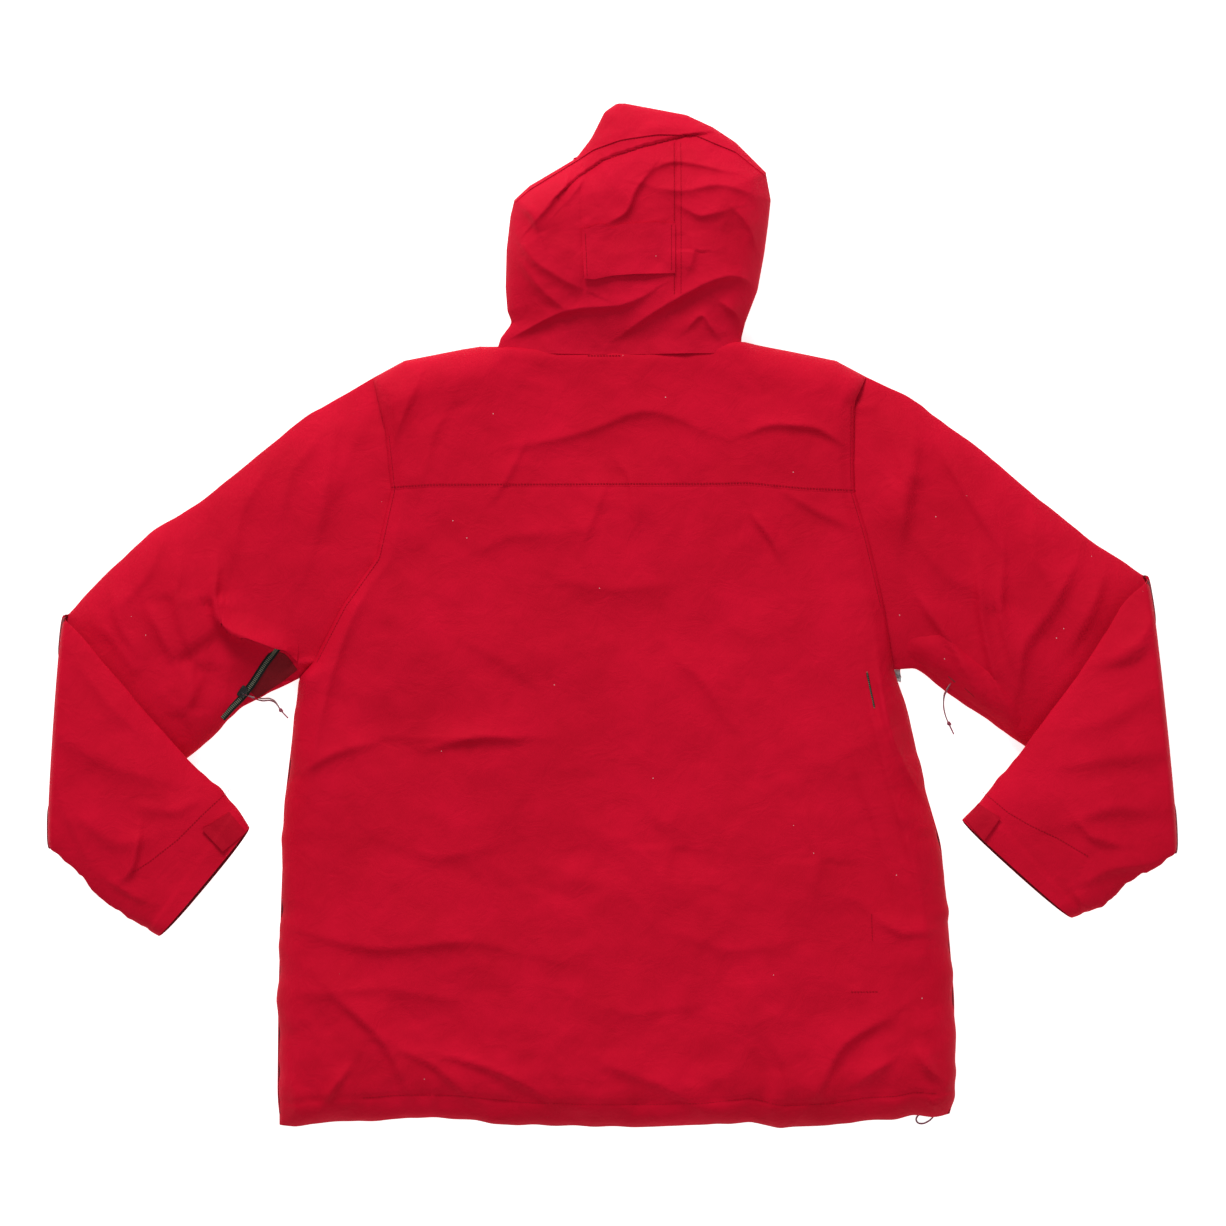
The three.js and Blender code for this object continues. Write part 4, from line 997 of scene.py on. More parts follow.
# %% Front panels
POCKET_X, POCKET_LOW, POCKET_HIGH, SLOT = 185, -442, -270, 9
PLACKET_X = 45
FRONT_GRIDS, FRONT_LINING_GRIDS = {}, {}


def front_outer_x(y):
    """Plan x of a front's outer edge: the fold line, then the chin above the neck seam."""
    fold_x = FRONT_HEM_X + (FRONT_NECK_X - FRONT_HEM_X) * (y + 538) / 819
    return np.where(y < 280, fold_x - 1.5, 92 - (y - 284) * 0.23)


def front_panel(name):
    """Sheet from the placket to the fold line. Its grid lines meet the pocket's slot, which stays open."""
    s = SIDES[name]["sign"]
    y = np.r_[np.linspace(-537, POCKET_LOW, 16), np.linspace(POCKET_LOW, POCKET_HIGH, 28)[1:],
              np.linspace(POCKET_HIGH, 279, 60)[1:], np.linspace(285, 334, 8)][:, None]
    outer = front_outer_x(y)
    share = np.r_[np.linspace(0, 0.6, 24), np.linspace(0.6, 0.7, 5)[1:], np.linspace(0.7, 1, 12)[1:]][None]
    even = PLACKET_X + (outer - PLACKET_X) * share
    slot_x = np.interp(share, [0, 0.6, 0.7, 1], [0, 1, 2, 3])
    left_x, right_x = POCKET_X - SLOT / 2, POCKET_X + SLOT / 2
    cut = np.where(slot_x < 1, PLACKET_X + (left_x - PLACKET_X) * slot_x,
                   np.where(slot_x < 2, left_x + SLOT * (slot_x - 1),
                            right_x + (outer - right_x) * (slot_x - 2)))
    w = 1 - ease((y - POCKET_HIGH) / 60)
    x = s * (even * (1 - w) + cut * w)
    y = np.broadcast_to(y, x.shape)
    y = y + (hem_y(x) + 5 - y[0]) * (1 - ease((y + 537) / 60))
    z = 2.0 + 0.9 * hills(x, y, 60, 81 + s) * ease((s * x - PLACKET_X) / 20)
    FRONT_GRIDS[name] = np.stack([x, y, z], -1)
    piece = cloth_piece(f"front_panel_{name}_cloth", FRONT_GRIDS[name], SHELL_AND_LINING,
                        facing="down")
    mesh = piece.data
    centres = np.zeros(len(mesh.polygons) * 3)
    mesh.polygons.foreach_get("center", centres)
    cx, cy = centres.reshape(-1, 3)[:, 0] / MM, centres.reshape(-1, 3)[:, 1] / MM
    inside = (np.abs(s * cx - POCKET_X) < SLOT / 2 - 0.2) & (cy > POCKET_LOW) & (cy < POCKET_HIGH)
    cutter = bmesh.new()
    cutter.from_mesh(mesh)
    cutter.faces.ensure_lookup_table()
    bmesh.ops.delete(cutter, geom=[cutter.faces[i] for i in np.flatnonzero(inside)], context="FACES")
    cutter.to_mesh(mesh)
    cutter.free()
    return place(piece, f"front_{name}", "shell_red", f"front_panel_{name}")


def front_lining(name):
    """Lining inside a front, and the hand pocket's bag between them."""
    s = SIDES[name]["sign"]
    y = np.linspace(-512, 248, 60)[:, None]
    inner, outer = 66, front_outer_x(y) - 8
    x = s * (inner + (outer - inner) * np.linspace(0, 1, 24)[None])
    y = np.broadcast_to(y, x.shape)
    z = 7.2 + 0.7 * hills(x, y, 50, 91)
    FRONT_LINING_GRIDS[name] = np.stack([x, y, z], -1)
    laid_cloth(f"front_lining_{name}_cloth", FRONT_LINING_GRIDS[name], LINING, f"front_{name}", "lining_grey",
               f"front_lining_{name}", thick=0.6)
    bag = patch([(80, -462), (199, -462)], [(199, -462), (199, -250)], [(80, -300), (125, -248), (199, -250)],
                [(80, -462), (80, -300)], 24, 16, 1)
    bag = bag * np.array([s, 1])
    bag_grid = with_height(bag, 5.4 + 0.4 * hills(*plan_xy(bag), 30, 93))
    laid_cloth(f"pocket_bag_{name}_cloth", bag_grid, LINING, f"front_{name}", "lining_grey",
               f"pocket_bag_{name}", thick=0.5)


for side_name in SIDES:
    front_panel(side_name)
    front_lining(side_name)


# %% [markdown]
# ## The storm flap
# A double strip of shell covers the front zip and opens on its own line. A slightly uneven sheet is enough,
# with a shallow groove where each edge is stitched.

# %% Storm flap
flap_y = np.linspace(-528, 330, 130)[:, None]
flap_x = np.linspace(-38, 38, 20)[None]
flap_x, flap_y = np.broadcast_arrays(flap_x, flap_y)
flap_z = 1.9 + 0.25 * hills(flap_x, flap_y, 30, 95)
flap_z = flap_z - 0.5 * np.exp(-((np.abs(flap_x) - 32) / 1.5) ** 2)
flap_grid = np.stack([flap_x, flap_y, flap_z], -1)
laid_cloth("storm_flap_cloth", flap_grid, SHELL, "storm_flap", "shell_red", "storm_flap", thick=1.4,
           facing="down")


# %% [markdown]
# ## Zips
# A coil zip is a row of small loops sewn to a woven tape. One block for each loop, all in one mesh, gives the
# coil its rhythm at little cost, and the tape is a narrow sheet under it.

# %% Blocks, coils and tapes
def blocks(name, centres, along, across, sizes, paints):
    """Many small blocks in one mesh: boxes of the same sizes, each turned to lie along its own direction."""
    corner = np.array([(a, b, c) for c in (-1, 1) for a, b in ((-1, -1), (1, -1), (1, 1), (-1, 1))]) / 2
    corner = corner * np.where(corner[:, 2:] > 0, (0.8, 0.8, 1), (1, 1, 1)) * np.array(sizes)
    up = np.cross(along, across)
    points = (centres[:, None] + corner[None, :, :1] * along[:, None] + corner[None, :, 1:2] * across[:, None]
              + corner[None, :, 2:] * up[:, None])
    faces = np.array([(0, 3, 2, 1), (4, 5, 6, 7), (0, 1, 5, 4), (1, 2, 6, 5), (2, 3, 7, 6), (3, 0, 4, 7)])
    index = np.arange(len(centres))[:, None, None] * 8 + faces[None]
    return new_object(name, points.reshape(-1, 3), index.reshape(-1, 4), paints, smooth=False)


def along_line(points, pitch):
    """Points at equal steps of pitch along a 3-D line, with the line's direction and its level normal."""
    fine = line(points, 400, 1)
    run = np.r_[0, np.linalg.norm(np.diff(fine, axis=0), axis=1).cumsum()]
    at = np.arange(pitch / 2, run[-1], pitch)
    place_at = np.stack([np.interp(at, run, fine[:, k]) for k in range(3)], -1)
    ahead = np.stack([np.interp(at + 0.5, run, fine[:, k]) for k in range(3)], -1) - place_at
    ahead /= np.maximum(np.linalg.norm(ahead, axis=1, keepdims=True), 1e-9)
    side = np.cross(np.array([0.0, 0.0, 1.0]), ahead)
    return place_at, ahead, side / np.maximum(np.linalg.norm(side, axis=1, keepdims=True), 1e-9)


def coil(name, points, body, width, pitch, tall):
    """One row of a zip's coil: a small block each pitch, across the line."""
    centres, ahead, side = along_line(points, pitch)
    piece = blocks(name, centres, ahead, side, (pitch * 0.55, width, tall), [PAINTS["coil"]])
    return place(piece, body, "zip_black")


def tape(name, points, body, width, *nodes, facing="up"):
    """Flat woven tape along a 3-D line."""
    centres, ahead, side = along_line(points, 4)
    across = np.linspace(-0.5, 0.5, 7) * width
    grid = centres[:, None] + side[:, None] * across[None, :, None]
    return laid_cloth(name, grid, [PAINTS["zip_tape"]], body, "zip_black", *nodes, thick=0.7, facing=facing)


# %% Front and pocket zips
for side_name, side in SIDES.items():
    s = side["sign"]
    profile = [(s * 61, 3.6), (s * 52, 3.4), (s * 45, 3.8), (s * 36, 7), (s * 28, 10.2), (s * 14, 10.6),
               (s * 1.2, 10.6)]
    rows = np.linspace(-537, 334, 150)
    across, up = np.array(profile).T
    rows = np.maximum(rows[:, None], hem_y(across)[None] + 6)
    grid = np.stack(np.broadcast_arrays(across[None], rows, up[None]), -1)
    laid_cloth(f"front_zip_tape_{side_name}_cloth", grid, [PAINTS["zip_tape"]], f"front_{side_name}",
               "zip_black", f"front_zip_tape_{side_name}", thick=0.9)
    zip_line = [(s * 2.2, -532, 9.3), (s * 2.2, 330, 9.3)]
    coil(f"front_zip_coil_{side_name}", zip_line, f"front_{side_name}", 3.0, 2.6, 1.2)
    pocket_line = [(s * POCKET_X, POCKET_LOW - 3, 3.9), (s * POCKET_X, POCKET_HIGH + 3, 3.9)]
    tape(f"pocket_zip_tape_{side_name}", pocket_line, f"front_{side_name}", 14, f"pocket_zip_{side_name}",
         facing="down")
    pocket_coil = [(x, y, 2.7) for x, y, _ in pocket_line]
    coil(f"pocket_zip_coil_{side_name}", pocket_coil, f"front_{side_name}", 4.0, 2.1, 1.0)

# %% [markdown]
# ## Pit zips
# Each underarm has a vent with its own zip. The left one lies open to view beside a fold of the sleeve, over
# a gusset whose dark red is painted shade for the dark wedge by the armpit. The right one is hidden by a
# welt, and only a short stretch shows low in a groove of the side.

# %% Pit zips
PIT_ZIPS = {
    "left": [(-352, -32), (-366, -49), (-381, -72), (-392, -86), (-404, -98), (-413, -108)],
    "right": [(326, -33), (349, -53), (372, -74), (388, -88)],
}
PIT_LINES = {}
WELT_HEIGHT = FLAP_HEIGHT = 7.0
for side_name, plan_line in PIT_ZIPS.items():
    route = line(plan_line, 40, 2)
    PIT_LINES[side_name] = np.c_[route, on_grid(SLEEVE_GRIDS[side_name], route[:, 0], route[:, 1]) + 1.4]
    body = f"sleeve_{side_name}"
    tape(f"pit_zip_tape_{side_name}", PIT_LINES[side_name], body, 8, f"pit_zip_{side_name}")
    coil(f"pit_zip_coil_{side_name}", PIT_LINES[side_name], body, 4.2, 2.0, 1.3)
# The gusset is a piece of the vent, but its dark cuff-lining red is painted shade: it stands for the shade in
# the wedge between the open zip and the armpit.
shade_gusset_plan = patch([(-383, -80), (-376, -87)], [(-376, -87), (-350, -70), (-333, -57)],
                    [(-355, -37), (-345, -38), (-333, -50)],
                    [(-383, -80), (-366, -54), (-355, -37)], 18, 12, 1)
shade_gusset_z = on_grid(SLEEVE_GRIDS["left"], *plan_xy(shade_gusset_plan)) + 0.8
laid_cloth("pit_gusset_left_painted_shade", with_height(shade_gusset_plan, shade_gusset_z), CUFF_LINING, "sleeve_left", "lining_grey",
           thick=0.5)
side_route = line([(265, -58), (267, -70), (270, -84), (273, -98)], 24, 2)
side_zip = np.c_[side_route, back_height(side_route[:, 0], side_route[:, 1]) + 0.5]
tape("pit_zip_tape_right_lower", side_zip, "root", 2.4)
coil("pit_zip_coil_right_lower", side_zip, "root", 1.2, 2.0, 0.7)
welt_plan = patch([(306, -47), (318, -50), (353, -78), (389, -103), (424, -127)], [(424, -127), (434, -104)],
                  [(306, -20), (345, -18), (392, -56), (434, -104)], [(306, -47), (306, -20)], 24, 48, 2)
u, v = np.linspace(0, 1, 48)[None], np.linspace(0, 1, 24)[:, None]
hump = np.sin(np.pi * v) ** 0.8 * np.sin(np.pi * u) ** 0.6
welt_z = on_grid(SLEEVE_GRIDS["right"], *plan_xy(welt_plan)) - 1.2 + WELT_HEIGHT * hump
laid_cloth("pit_welt_right", with_height(welt_plan, welt_z), SHELL, "sleeve_right", "shell_red", thick=0.8)

# %% Pit zip flap on the left
flap_high = [(x + 2, y + 26) for x, y in PIT_FLAP]
pit_flap_plan = patch(PIT_FLAP, [PIT_FLAP[-1], flap_high[-1]], flap_high,
                      [PIT_FLAP[0], flap_high[0]], 16, 40, 1)
edge_share = np.linspace(1, 0, 16)[:, None]
ends = np.sin(np.pi * np.linspace(0.0, 0.9, 40))[None] ** 0.8
pit_flap_z = on_grid(SLEEVE_GRIDS["left"], *plan_xy(pit_flap_plan)) + 0.2
pit_flap_z = pit_flap_z + FLAP_HEIGHT * edge_share**1.5 * ends - 0.6 * (1 - ends)
laid_cloth("pit_flap_left", with_height(pit_flap_plan, pit_flap_z), SHELL_AND_CUFF, "sleeve_left",
           "shell_red", thick=1.4)

# %% [markdown]
# ## Hard parts
# Sliders, pulls and the cord lock are moulded with soft corners. A superellipsoid gives such a block in one
# formula, and a few of them in one mesh make a slider.

# %% Moulded blocks
def pebble(centre, ahead, side, sizes, power=0.3, rings=9, columns=20):
    """Superellipsoid: a sphere whose cosines and sines are raised to a small power, which squares it up."""
    theta = (np.arange(1, rings) / rings - 0.5) * np.pi
    phi = np.linspace(0, 2 * np.pi, columns, endpoint=False)
    curve = lambda w: np.sign(w) * np.abs(w) ** power
    a = curve(np.cos(theta))[:, None] * curve(np.cos(phi))[None]
    b = curve(np.cos(theta))[:, None] * curve(np.sin(phi))[None]
    c = np.broadcast_to(curve(np.sin(theta))[:, None], a.shape)
    poles = [[0, 0, -1], [0, 0, 1]]
    local = np.concatenate([np.stack([a, b, c], -1).reshape(-1, 3), poles]) * np.array(sizes) / 2
    up = np.cross(ahead, side)
    points = np.array(centre) + local @ np.stack([ahead, side, up])
    r, k = np.meshgrid(np.arange(rings - 2), np.arange(columns), indexing="ij")
    n = (k + 1) % columns
    quads = np.stack([r * columns + k, r * columns + n, (r + 1) * columns + n, (r + 1) * columns + k], -1)
    quads = quads.reshape(-1, 4)
    last = (rings - 1) * columns
    k, n = np.arange(columns), (np.arange(columns) + 1) % columns
    bottom = np.stack([np.full(columns, last), n, k], -1)
    top = np.stack([np.full(columns, last + 1), last - columns + k, last - columns + n], -1)
    return points, [list(q) for q in quads] + [list(q) for q in bottom] + [list(q) for q in top]


def rod(path, radius, columns=10):
    """Closed tube along a loop of points: a circle at each point, in the plane across the loop."""
    p = np.array(path, float)
    ahead = np.roll(p, -1, 0) - np.roll(p, 1, 0)
    ahead /= np.linalg.norm(ahead, axis=1, keepdims=True)
    middle = p - p.mean(0)
    up = np.cross(ahead, middle)
    up = np.broadcast_to(up.mean(0) / np.linalg.norm(up.mean(0)), p.shape)
    side = np.cross(up, ahead)
    angle = np.linspace(0, 2 * np.pi, columns, endpoint=False)
    cosine, sine = np.cos(angle)[None, :, None], np.sin(angle)[None, :, None]
    points = p[:, None] + radius * (cosine * side[:, None] + sine * up[:, None])
    r, k = np.meshgrid(np.arange(len(p)), np.arange(columns), indexing="ij")
    r2, n = (r + 1) % len(p), (k + 1) % columns
    quads = np.stack([r * columns + k, r * columns + n, r2 * columns + n, r2 * columns + k],
                     -1).reshape(-1, 4)
    return points.reshape(-1, 3), [list(q) for q in quads[:, ::-1]]


def moulded(name, parts, paint, body, slot, *nodes):
    """One mesh from several closed parts."""
    points, faces, start = [], [], 0
    for p, f in parts:
        points.append(p)
        faces += [[i + start for i in face] for face in f]
        start += len(p)
    return place(new_object(name, np.concatenate(points), faces, [paint]), body, slot, *nodes)


def middle_of(name):
    """Middle and size of a CAD node."""
    low, high = BOXES[name]
    return (low + high) / 2, high - low


def loop_path(centre, ahead, side, length, width, count=28):
    """Rounded oblong loop around a centre."""
    t = np.linspace(0, 2 * np.pi, count, endpoint=False)
    curve = lambda w: np.sign(w) * np.abs(w) ** 0.6
    return (np.array(centre) + np.outer(curve(np.cos(t)) * length / 2, ahead)
            + np.outer(curve(np.sin(t)) * width / 2, side))


X, Y = np.array([1.0, 0, 0]), np.array([0, 1.0, 0])


def zip_slider(name, centre, ahead, side, size, outward, body, *nodes):
    """Slider: two plates with a post between them, and a bridge on the outer plate."""
    length, width, tall = size
    up = np.array([0, 0, 1.0]) * outward
    at = np.array(centre, float)
    parts = [pebble(at - up * tall * 0.32, ahead, side, (length, width, tall * 0.34)),
             pebble(at + up * tall * 0.12, ahead, side, (length * 0.92, width * 0.9, tall * 0.34)),
             pebble(at - up * tall * 0.1, ahead, side, (length * 0.3, width * 0.22, tall * 0.6)),
             pebble(at + up * tall * 0.38, ahead, side, (length * 0.6, width * 0.22, tall * 0.28), power=0.5)]
    return moulded(name, parts, PAINTS["slider"], body, "slider_black", *nodes)


centre, size = middle_of("front_zip_slider")
zip_slider("front_zip_slider_body", centre, Y, X, (size[1], size[0], size[2]), -1, "front_zip_slider",
           "front_zip_slider")
centre, _ = middle_of("front_zip_pull")
moulded("front_zip_pull_tab", [rod(loop_path(centre + Y * 15, Y, X, 10, 6), 0.7),
                               pebble(centre - Y * 6, Y, X, (28, 6.4, 1.5)),
                               pebble(centre - Y * 6, Y, X, (20, 4.2, 1.9), power=0.4)],
        PAINTS["slider"], "front_zip_pull", "slider_black", "front_zip_pull")
for side_name in SIDES:
    centre, size = middle_of(f"pocket_slider_{side_name}")
    zip_slider(f"pocket_slider_body_{side_name}", centre, Y, X, (size[1], size[0], size[2]), -1,
               f"pocket_slider_{side_name}", f"pocket_slider_{side_name}")
    centre, _ = middle_of(f"pocket_pull_{side_name}")
    moulded(f"pocket_pull_tab_{side_name}", [rod(loop_path(centre + Y * 7, Y, X, 7, 4.6), 0.55),
                                             pebble(centre - Y * 3.5, Y, X, (14.5, 5.4, 1.3))],
            PAINTS["slider"], f"pocket_pull_{side_name}", "slider_black", f"pocket_pull_{side_name}")

# %% Cord lock
centre, size = middle_of("hem_cordlock")
moulded("hem_cordlock_barrel", [pebble(centre, Y, X, (size[1], size[0], size[2]), power=0.55),
                                pebble(centre - Y * 2, Y, X, (3, size[0] + 0.8, size[2] + 0.4), power=0.6)],
        PAINTS["plastic"], "root", "plastic_black", "hem_cordlock")
centre, size = middle_of("hem_cordlock_button")
moulded("hem_cordlock_button_cap", [pebble(centre, Y, X, (size[1], size[0], size[2]), power=0.5)],
        PAINTS["plastic"], "hem_cordlock_button", "plastic_black", "hem_cordlock_button")

# %% [markdown]
# ## Cords
# Each pit slider has a short puller of two thin strands that end in a knot. It comes down over the sleeve's
# edge and lies on the table. The hem's cord makes one small loop at the right corner and goes back in.

# %% Cords
def cord(name, points, diameter, body, paint):
    """Round cord along a smooth line through the points."""
    path = line(line(points, 60, 3), 34, 0)
    curve = bpy.data.curves.new(name, "CURVE")
    curve.dimensions = "3D"
    spline = curve.splines.new("POLY")
    spline.points.add(len(path) - 1)
    spline.points.foreach_set("co", np.c_[path * MM, np.ones(len(path))].ravel())
    curve.bevel_depth, curve.bevel_resolution, curve.use_fill_caps = diameter * MM / 2, 3, True
    curve.materials.append(paint)
    obj = bpy.data.objects.new(name, curve)
    bpy.context.scene.collection.objects.link(obj)
    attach(obj, body)
    return obj


CORD_PLANS = {
    "left": [(-391, -82), (-386, -84), (-380, -87), (-375, -89), (-370, -90), (-364, -89), (-358, -91),
             (-354, -96), (-352, -99.5), (-348, -104), (-344, -108)],
    "right": [(357, -66), (354, -72), (351, -78), (349, -84), (348, -90), (348, -96), (349, -102),
              (351, -108), (353.5, -113.5), (356, -119), (359, -125)],
}
for side_name, plan_line in CORD_PLANS.items():
    plan_line = np.array(plan_line, float)
    grid = SLEEVE_GRIDS[side_name]
    under = nearest(plan_line[:, 0], plan_line[:, 1], SIDES[side_name]["sleeve_under"])
    outside = under[2] < 0
    high = on_grid(grid, plan_line[:, 0], plan_line[:, 1]) + 1.4
    z = np.where(outside | (np.arange(len(plan_line)) > 5), 1.3, high)
    z[0] = high[0] + 1.8
    ahead = np.diff(PIT_LINES[side_name][[12, 26]], axis=0)[0]
    ahead[2] = 0
    ahead /= np.linalg.norm(ahead)
    side_dir = np.cross([0, 0, 1.0], ahead)
    body = f"pit_slider_{side_name}"
    slider_at = np.array([*SIDES[side_name]["slider"], 0])
    slider_at[2] = on_grid(grid, slider_at[:1], slider_at[1:2])[0] + 2.6
    zip_slider(f"pit_slider_body_{side_name}", slider_at, ahead, side_dir, (13, 8, 3.2), 1, body,
               f"pit_slider_{side_name}")
    for strand, shift in (("a", 0.0), ("b", 2.4)):
        points = np.c_[plan_line, z]
        points[1:-3, 1] += shift * np.sin(np.linspace(0, np.pi, len(points) - 4))
        if strand == "b":
            points = points[:-2]
        knot = []
        if strand == "a":
            at = points[-3].copy()
            at[2] = 2.2
            turns_of_knot = [pebble(at, Y, X, (4.4, 3.8, 3.8), power=0.8),
                             pebble(at + [1.2, -0.8, 0.2], X, -Y, (3.6, 3.0, 3.2), power=0.9)]
            knot = [moulded(f"pit_cord_knot_{side_name}", turns_of_knot, PAINTS["cord"], body, "cord_pink",
                            f"pit_cord_{side_name}")]
        cord(f"pit_cord_{side_name}_{strand}", points, 1.5, body,
             PAINTS["cord"] if strand == "a" else PAINTS["cord_pale"])
hem_route = [(339.5, -512, 12), (340, -519, 10.5), (338.5, -526, 8.6), (333.5, -532.2, 6.4), (327, -536, 4.4),
             (321, -536, 3), (318.4, -532, 2.2), (320.6, -527.6, 2.2), (326, -524.6, 3), (331.5, -521, 4.2),
             (334, -514.5, 5.4)]
hem_cord = cord("hem_cord_loop_cord", hem_route, 1.8, "root", PAINTS["cord"])
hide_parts("hem_cord_loop")

# %% [markdown]
# ## Stitches and small trims
# Seams are topstitched with red thread, about eight stitches to 25 mm. Each stitch is a small block, and
# whole rows share one mesh.

# %% Stitches
STITCH_PITCH, STITCH = 3.2, (2.3, 0.55, 0.45)


def stitch_rows(name, routes, height, body, rise=0.35):
    """Rows of stitches along plan lines, on the height that a function gives at each stitch."""
    places, aheads, sides = [], [], []
    for route in routes:
        plan_line = line(route, 120, 1)
        lifted = np.c_[plan_line, height(plan_line[:, 0], plan_line[:, 1]) + rise]
        at, ahead, side = along_line(lifted, STITCH_PITCH)
        places.append(at)
        aheads.append(ahead)
        sides.append(side)
    piece = blocks(name, np.concatenate(places), np.concatenate(aheads), np.concatenate(sides), STITCH,
                   [PAINTS["thread"]])
    return place(piece, body, "shell_red")


def beside(points, dx, dy):
    """A line moved sideways."""
    return [(x + dx, y + dy) for x, y in points]


armholes = [beside(SIDES["left"]["armhole"][1:-1], 4, 0), beside(SIDES["right"]["armhole"][1:-1], -4, 0)]
stitch_rows("body_stitches", [beside(HEM[1:-1], 0, HEM_TUNNEL)] + armholes, back_height, "root")
stitch_rows("yoke_stitches", [beside(YOKE_SEAM, 0, 3), [(-28, 279), (6, 279)], [(-28, 273), (6, 273)]],
            lambda x, y: back_height(x, y) + 0.5, "root")
stitch_rows("hood_stitches", [beside(HOOD_SEAM[1:-1], 0, -4), [(70, 496), (70, 336)], [(63, 496), (63, 336)],
                              [(-59, 437), (-38, 458), (-10, 477), (30, 490),
                               (74, 502)]], hood_height, "hood")
stitch_rows("tab_stitches", [[(60, 361), (60, 408)], [(-28, 355), (-30, 401)]],
            lambda x, y: on_grid(np.concatenate([tab_grid, tab_grid], 1), x, y), "hood_tab")
stitch_rows("detail_stitches", [[(270, -312), (271, -341)], [(248, -394), (277, -394)]], back_height, "root")
CUFF_ROWS = {
    "left": [(-400, -180), (-428, -206), (-456, -234), (-484, -256), (-506, -270)],
    "right": [(386, -184), (411, -205), (435, -219), (463, -232), (495, -251)],
}
for side_name, route in CUFF_ROWS.items():
    stitch_rows(f"cuff_stitches_{side_name}", [route], lambda x, y: on_grid(FOREARM_GRIDS[side_name], x, y),
                f"forearm_{side_name}")

# %% [markdown]
# ## Collar and small trims
# The collar is a short soft tube at the neck. The hanger loop, the blank label and a tuft of loose filling at
# the right armpit are small sheets.

# %% Collar
low, high = BOXES["collar"]
collar_y = np.linspace(low[1] - 22, high[1], 14)[:, None]
around = np.linspace(0, 2 * np.pi, 72, endpoint=False)[None]
soft = lambda w: np.sign(w) * np.abs(w) ** 0.7
around, collar_y = np.broadcast_arrays(around, collar_y)
collar_x = (low[0] + high[0]) / 2 + (high[0] - low[0] - 6) / 2 * soft(np.cos(around))
collar_z = (low[2] + high[2]) / 2 + (high[2] - low[2] - 6) / 2 * soft(np.sin(around))
collar_z = collar_z + 0.8 * hills(collar_x, collar_y, 30, 99)
collar_grid = np.stack([collar_x, collar_y, collar_z], -1)
laid_cloth("collar_cloth", collar_grid, SHELL_AND_LINING, "root", "lining_grey", "collar", thick=2.4,
           ring=True, facing="out")

# %% Hanger loop, label and fluff
hanger = np.array([(-28, 253, 0), (-20, 255, 0), (0, 252, 0), (22, 255, 0), (32, 253, 0)], float)
hanger[:, 2] = back_height(hanger[:, 0], hanger[:, 1]) - HANGER_DEPTH
tape("hanger_loop_tape", hanger, "root", 6, "hanger_loop", facing="down")
label_plan = oblong((-18, 218), (22, 246), 12, 14)
label_z = back_height(*plan_xy(label_plan)) - LABEL_DEPTH
label_grid = with_height(label_plan, label_z)
laid_cloth("size_label_cloth", label_grid, [PAINTS["label"]], "root", "label_white", "size_label", thick=0.4,
           facing="down")
fluff_plan = patch([(290, -67), (303, -70)], [(303, -70), (302, -56)], [(291, -58), (302, -56)],
                   [(290, -67), (291, -58)], 10, 12, 1)
fluff_z = 6 + 3 * hills(*plan_xy(fluff_plan), 4, 107)
laid_cloth("armpit_fluff_right", with_height(fluff_plan, fluff_z), [PAINTS["fluff"]], "root", "lining_grey",
           thick=1.2)
print("collar and trims done")

# %% [markdown]
# ## What each sheet was cut to
# Every panel is a flat cut before it is sewn. Its flat size is read from the finished grid: the longest row
# and the longest column, and the cloth's own area.

# %% Sheets
def declare_sheet(name, grid):
    """Prints a sheet's flat size: its longest row by its longest column, and the area of its quads, at most
    that rectangle's."""
    steps_u, steps_v = np.diff(grid, axis=1), np.diff(grid, axis=0)
    width = np.linalg.norm(steps_u, axis=-1).sum(1).max() * MM
    length = np.linalg.norm(steps_v, axis=-1).sum(0).max() * MM
    area = np.linalg.norm(np.cross(steps_u[:-1], steps_v[:, :-1]), axis=-1).sum() * MM**2
    area = min(area, width * length)
    print(f"{name}: {width:.3f} x {length:.3f} m, {area:.4f} m2")


declare_sheet("back_panel_cloth", back_grid)
declare_sheet("back_yoke_cloth", yoke_grid)
declare_sheet("back_lining_cloth", lining_grid)
declare_sheet("hood_cloth", crown_grid)
declare_sheet("hood_brim_cloth", brim_grid)
declare_sheet("hood_tab_cloth", tab_grid)
declare_sheet("storm_flap_cloth", flap_grid)
declare_sheet("size_label_cloth", label_grid)
for side_name in SIDES:
    panel = f"front_panel_{side_name}_cloth"
    declare_sheet(panel, FRONT_GRIDS[side_name])
    declare_sheet(f"front_lining_{side_name}_cloth", FRONT_LINING_GRIDS[side_name])
    declare_sheet(f"cuff_tab_{side_name}_cloth", TAB_GRIDS[side_name])

# %% Nothing of the plain CAD is left showing
left_over = [name for name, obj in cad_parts.items() if not obj.hide_render]
print("CAD nodes still shown:", left_over)

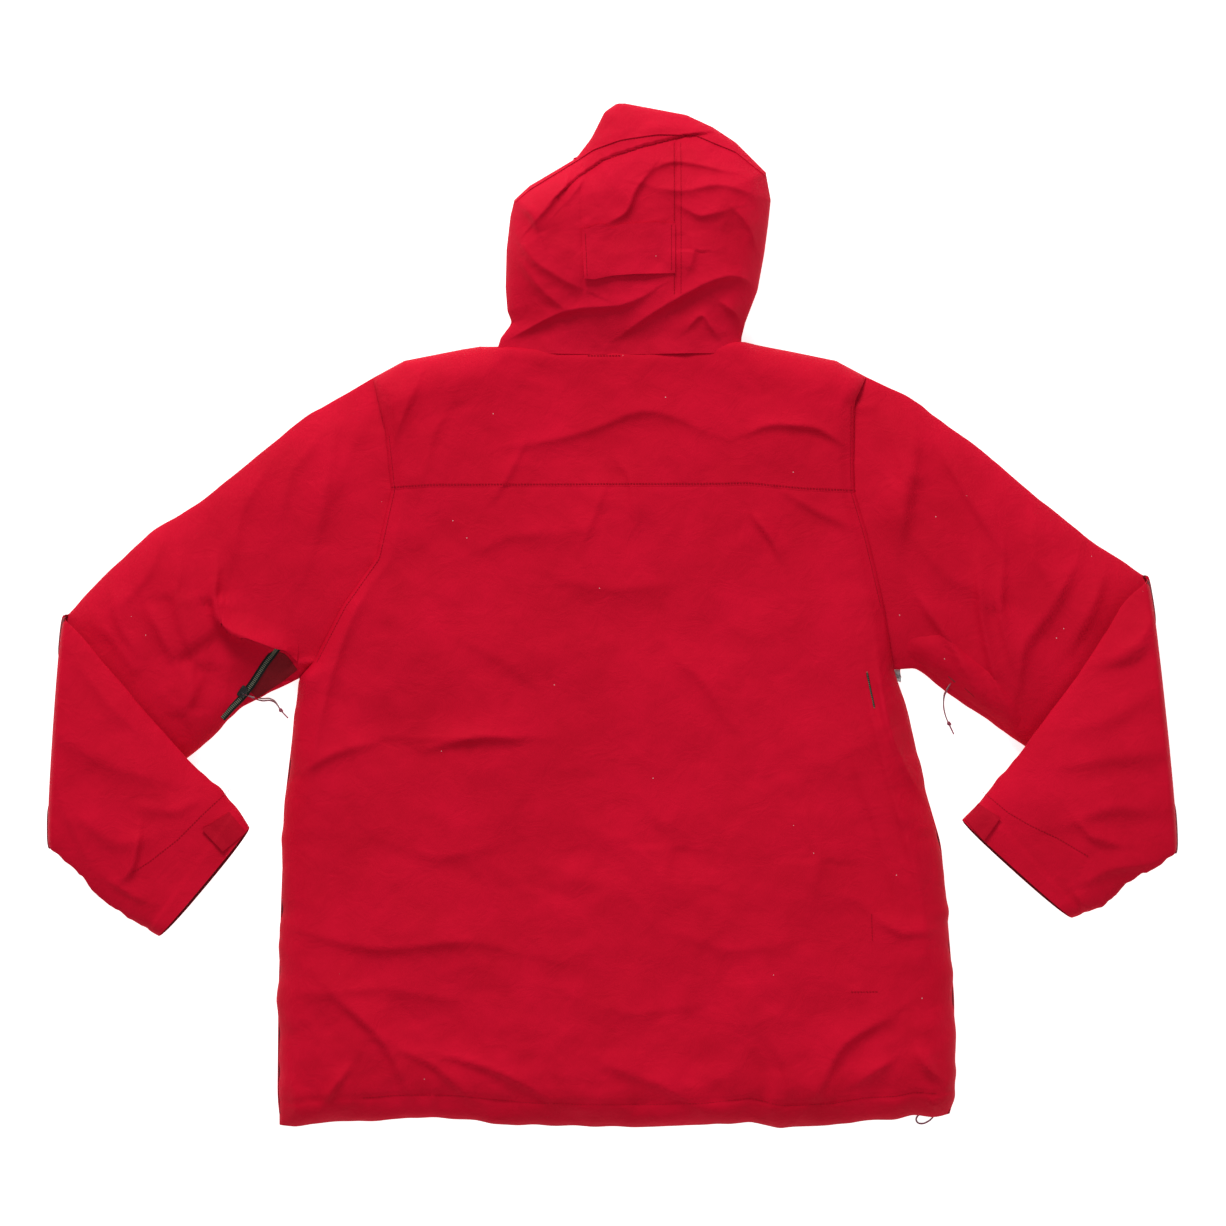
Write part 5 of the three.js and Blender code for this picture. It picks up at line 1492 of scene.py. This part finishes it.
# %% [markdown]
# ## Floor and light
# A pale floor and one large soft light from the collar's side, with a bright sky, show folds as soft shades.

# %% Floor and light
FLOOR_HALF, FLOOR_DROP = 12, -0.0005  # in metres; the floor lies just under the cloth
FLOOR_GLOW = 0.75  # keeps the white floor from greying where the light falls off
WINDOW_WATTS, FILL_WATTS, SKY_STRENGTH = 200, 22, 0.38
floor_mesh = bpy.data.meshes.new("floor")
corner_signs = ((-1, -1), (1, -1), (1, 1), (-1, 1))
floor_corners = [(a * FLOOR_HALF, b * FLOOR_HALF, FLOOR_DROP) for a, b in corner_signs]
floor_mesh.from_pydata(floor_corners, [], [(0, 1, 2, 3)])
floor = bpy.data.objects.new("floor", floor_mesh)
bpy.context.scene.collection.objects.link(floor)
floor_paint = bpy.data.materials.new("floor_white")
floor_paint.use_nodes = True
floor_shader = floor_paint.node_tree.nodes["Principled BSDF"]
floor_shader.inputs["Base Color"].default_value = (0.9, 0.9, 0.9, 1)
floor_shader.inputs["Roughness"].default_value = 0.9
floor_shader.inputs["Emission Color"].default_value = (1, 1, 1, 1)
floor_shader.inputs["Emission Strength"].default_value = FLOOR_GLOW
floor_mesh.materials.append(floor_paint)


def soft_light(name, place_at, target, size, power):
    """Square area light that faces its target."""
    data = bpy.data.lights.new(name, "AREA")
    data.size, data.energy = size, power
    light = bpy.data.objects.new(name, data)
    light.location = place_at
    light.rotation_euler = (Vector(target) - Vector(place_at)).to_track_quat("-Z", "Y").to_euler()
    bpy.context.scene.collection.objects.link(light)


soft_light("window_light", (-0.9, 4.2, 2.7), (0, 0, 0), 1.7, WINDOW_WATTS)
soft_light("fill_light", (0.5, -1.3, 3.2), (0, 0, 0), 2.0, FILL_WATTS)
world = bpy.data.worlds.new("sky")
bpy.context.scene.world = world
world.use_nodes = True
world.node_tree.nodes["Background"].inputs["Color"].default_value = (1, 1, 1, 1)
world.node_tree.nodes["Background"].inputs["Strength"].default_value = SKY_STRENGTH
bpy.context.scene.view_settings.view_transform = "Standard"
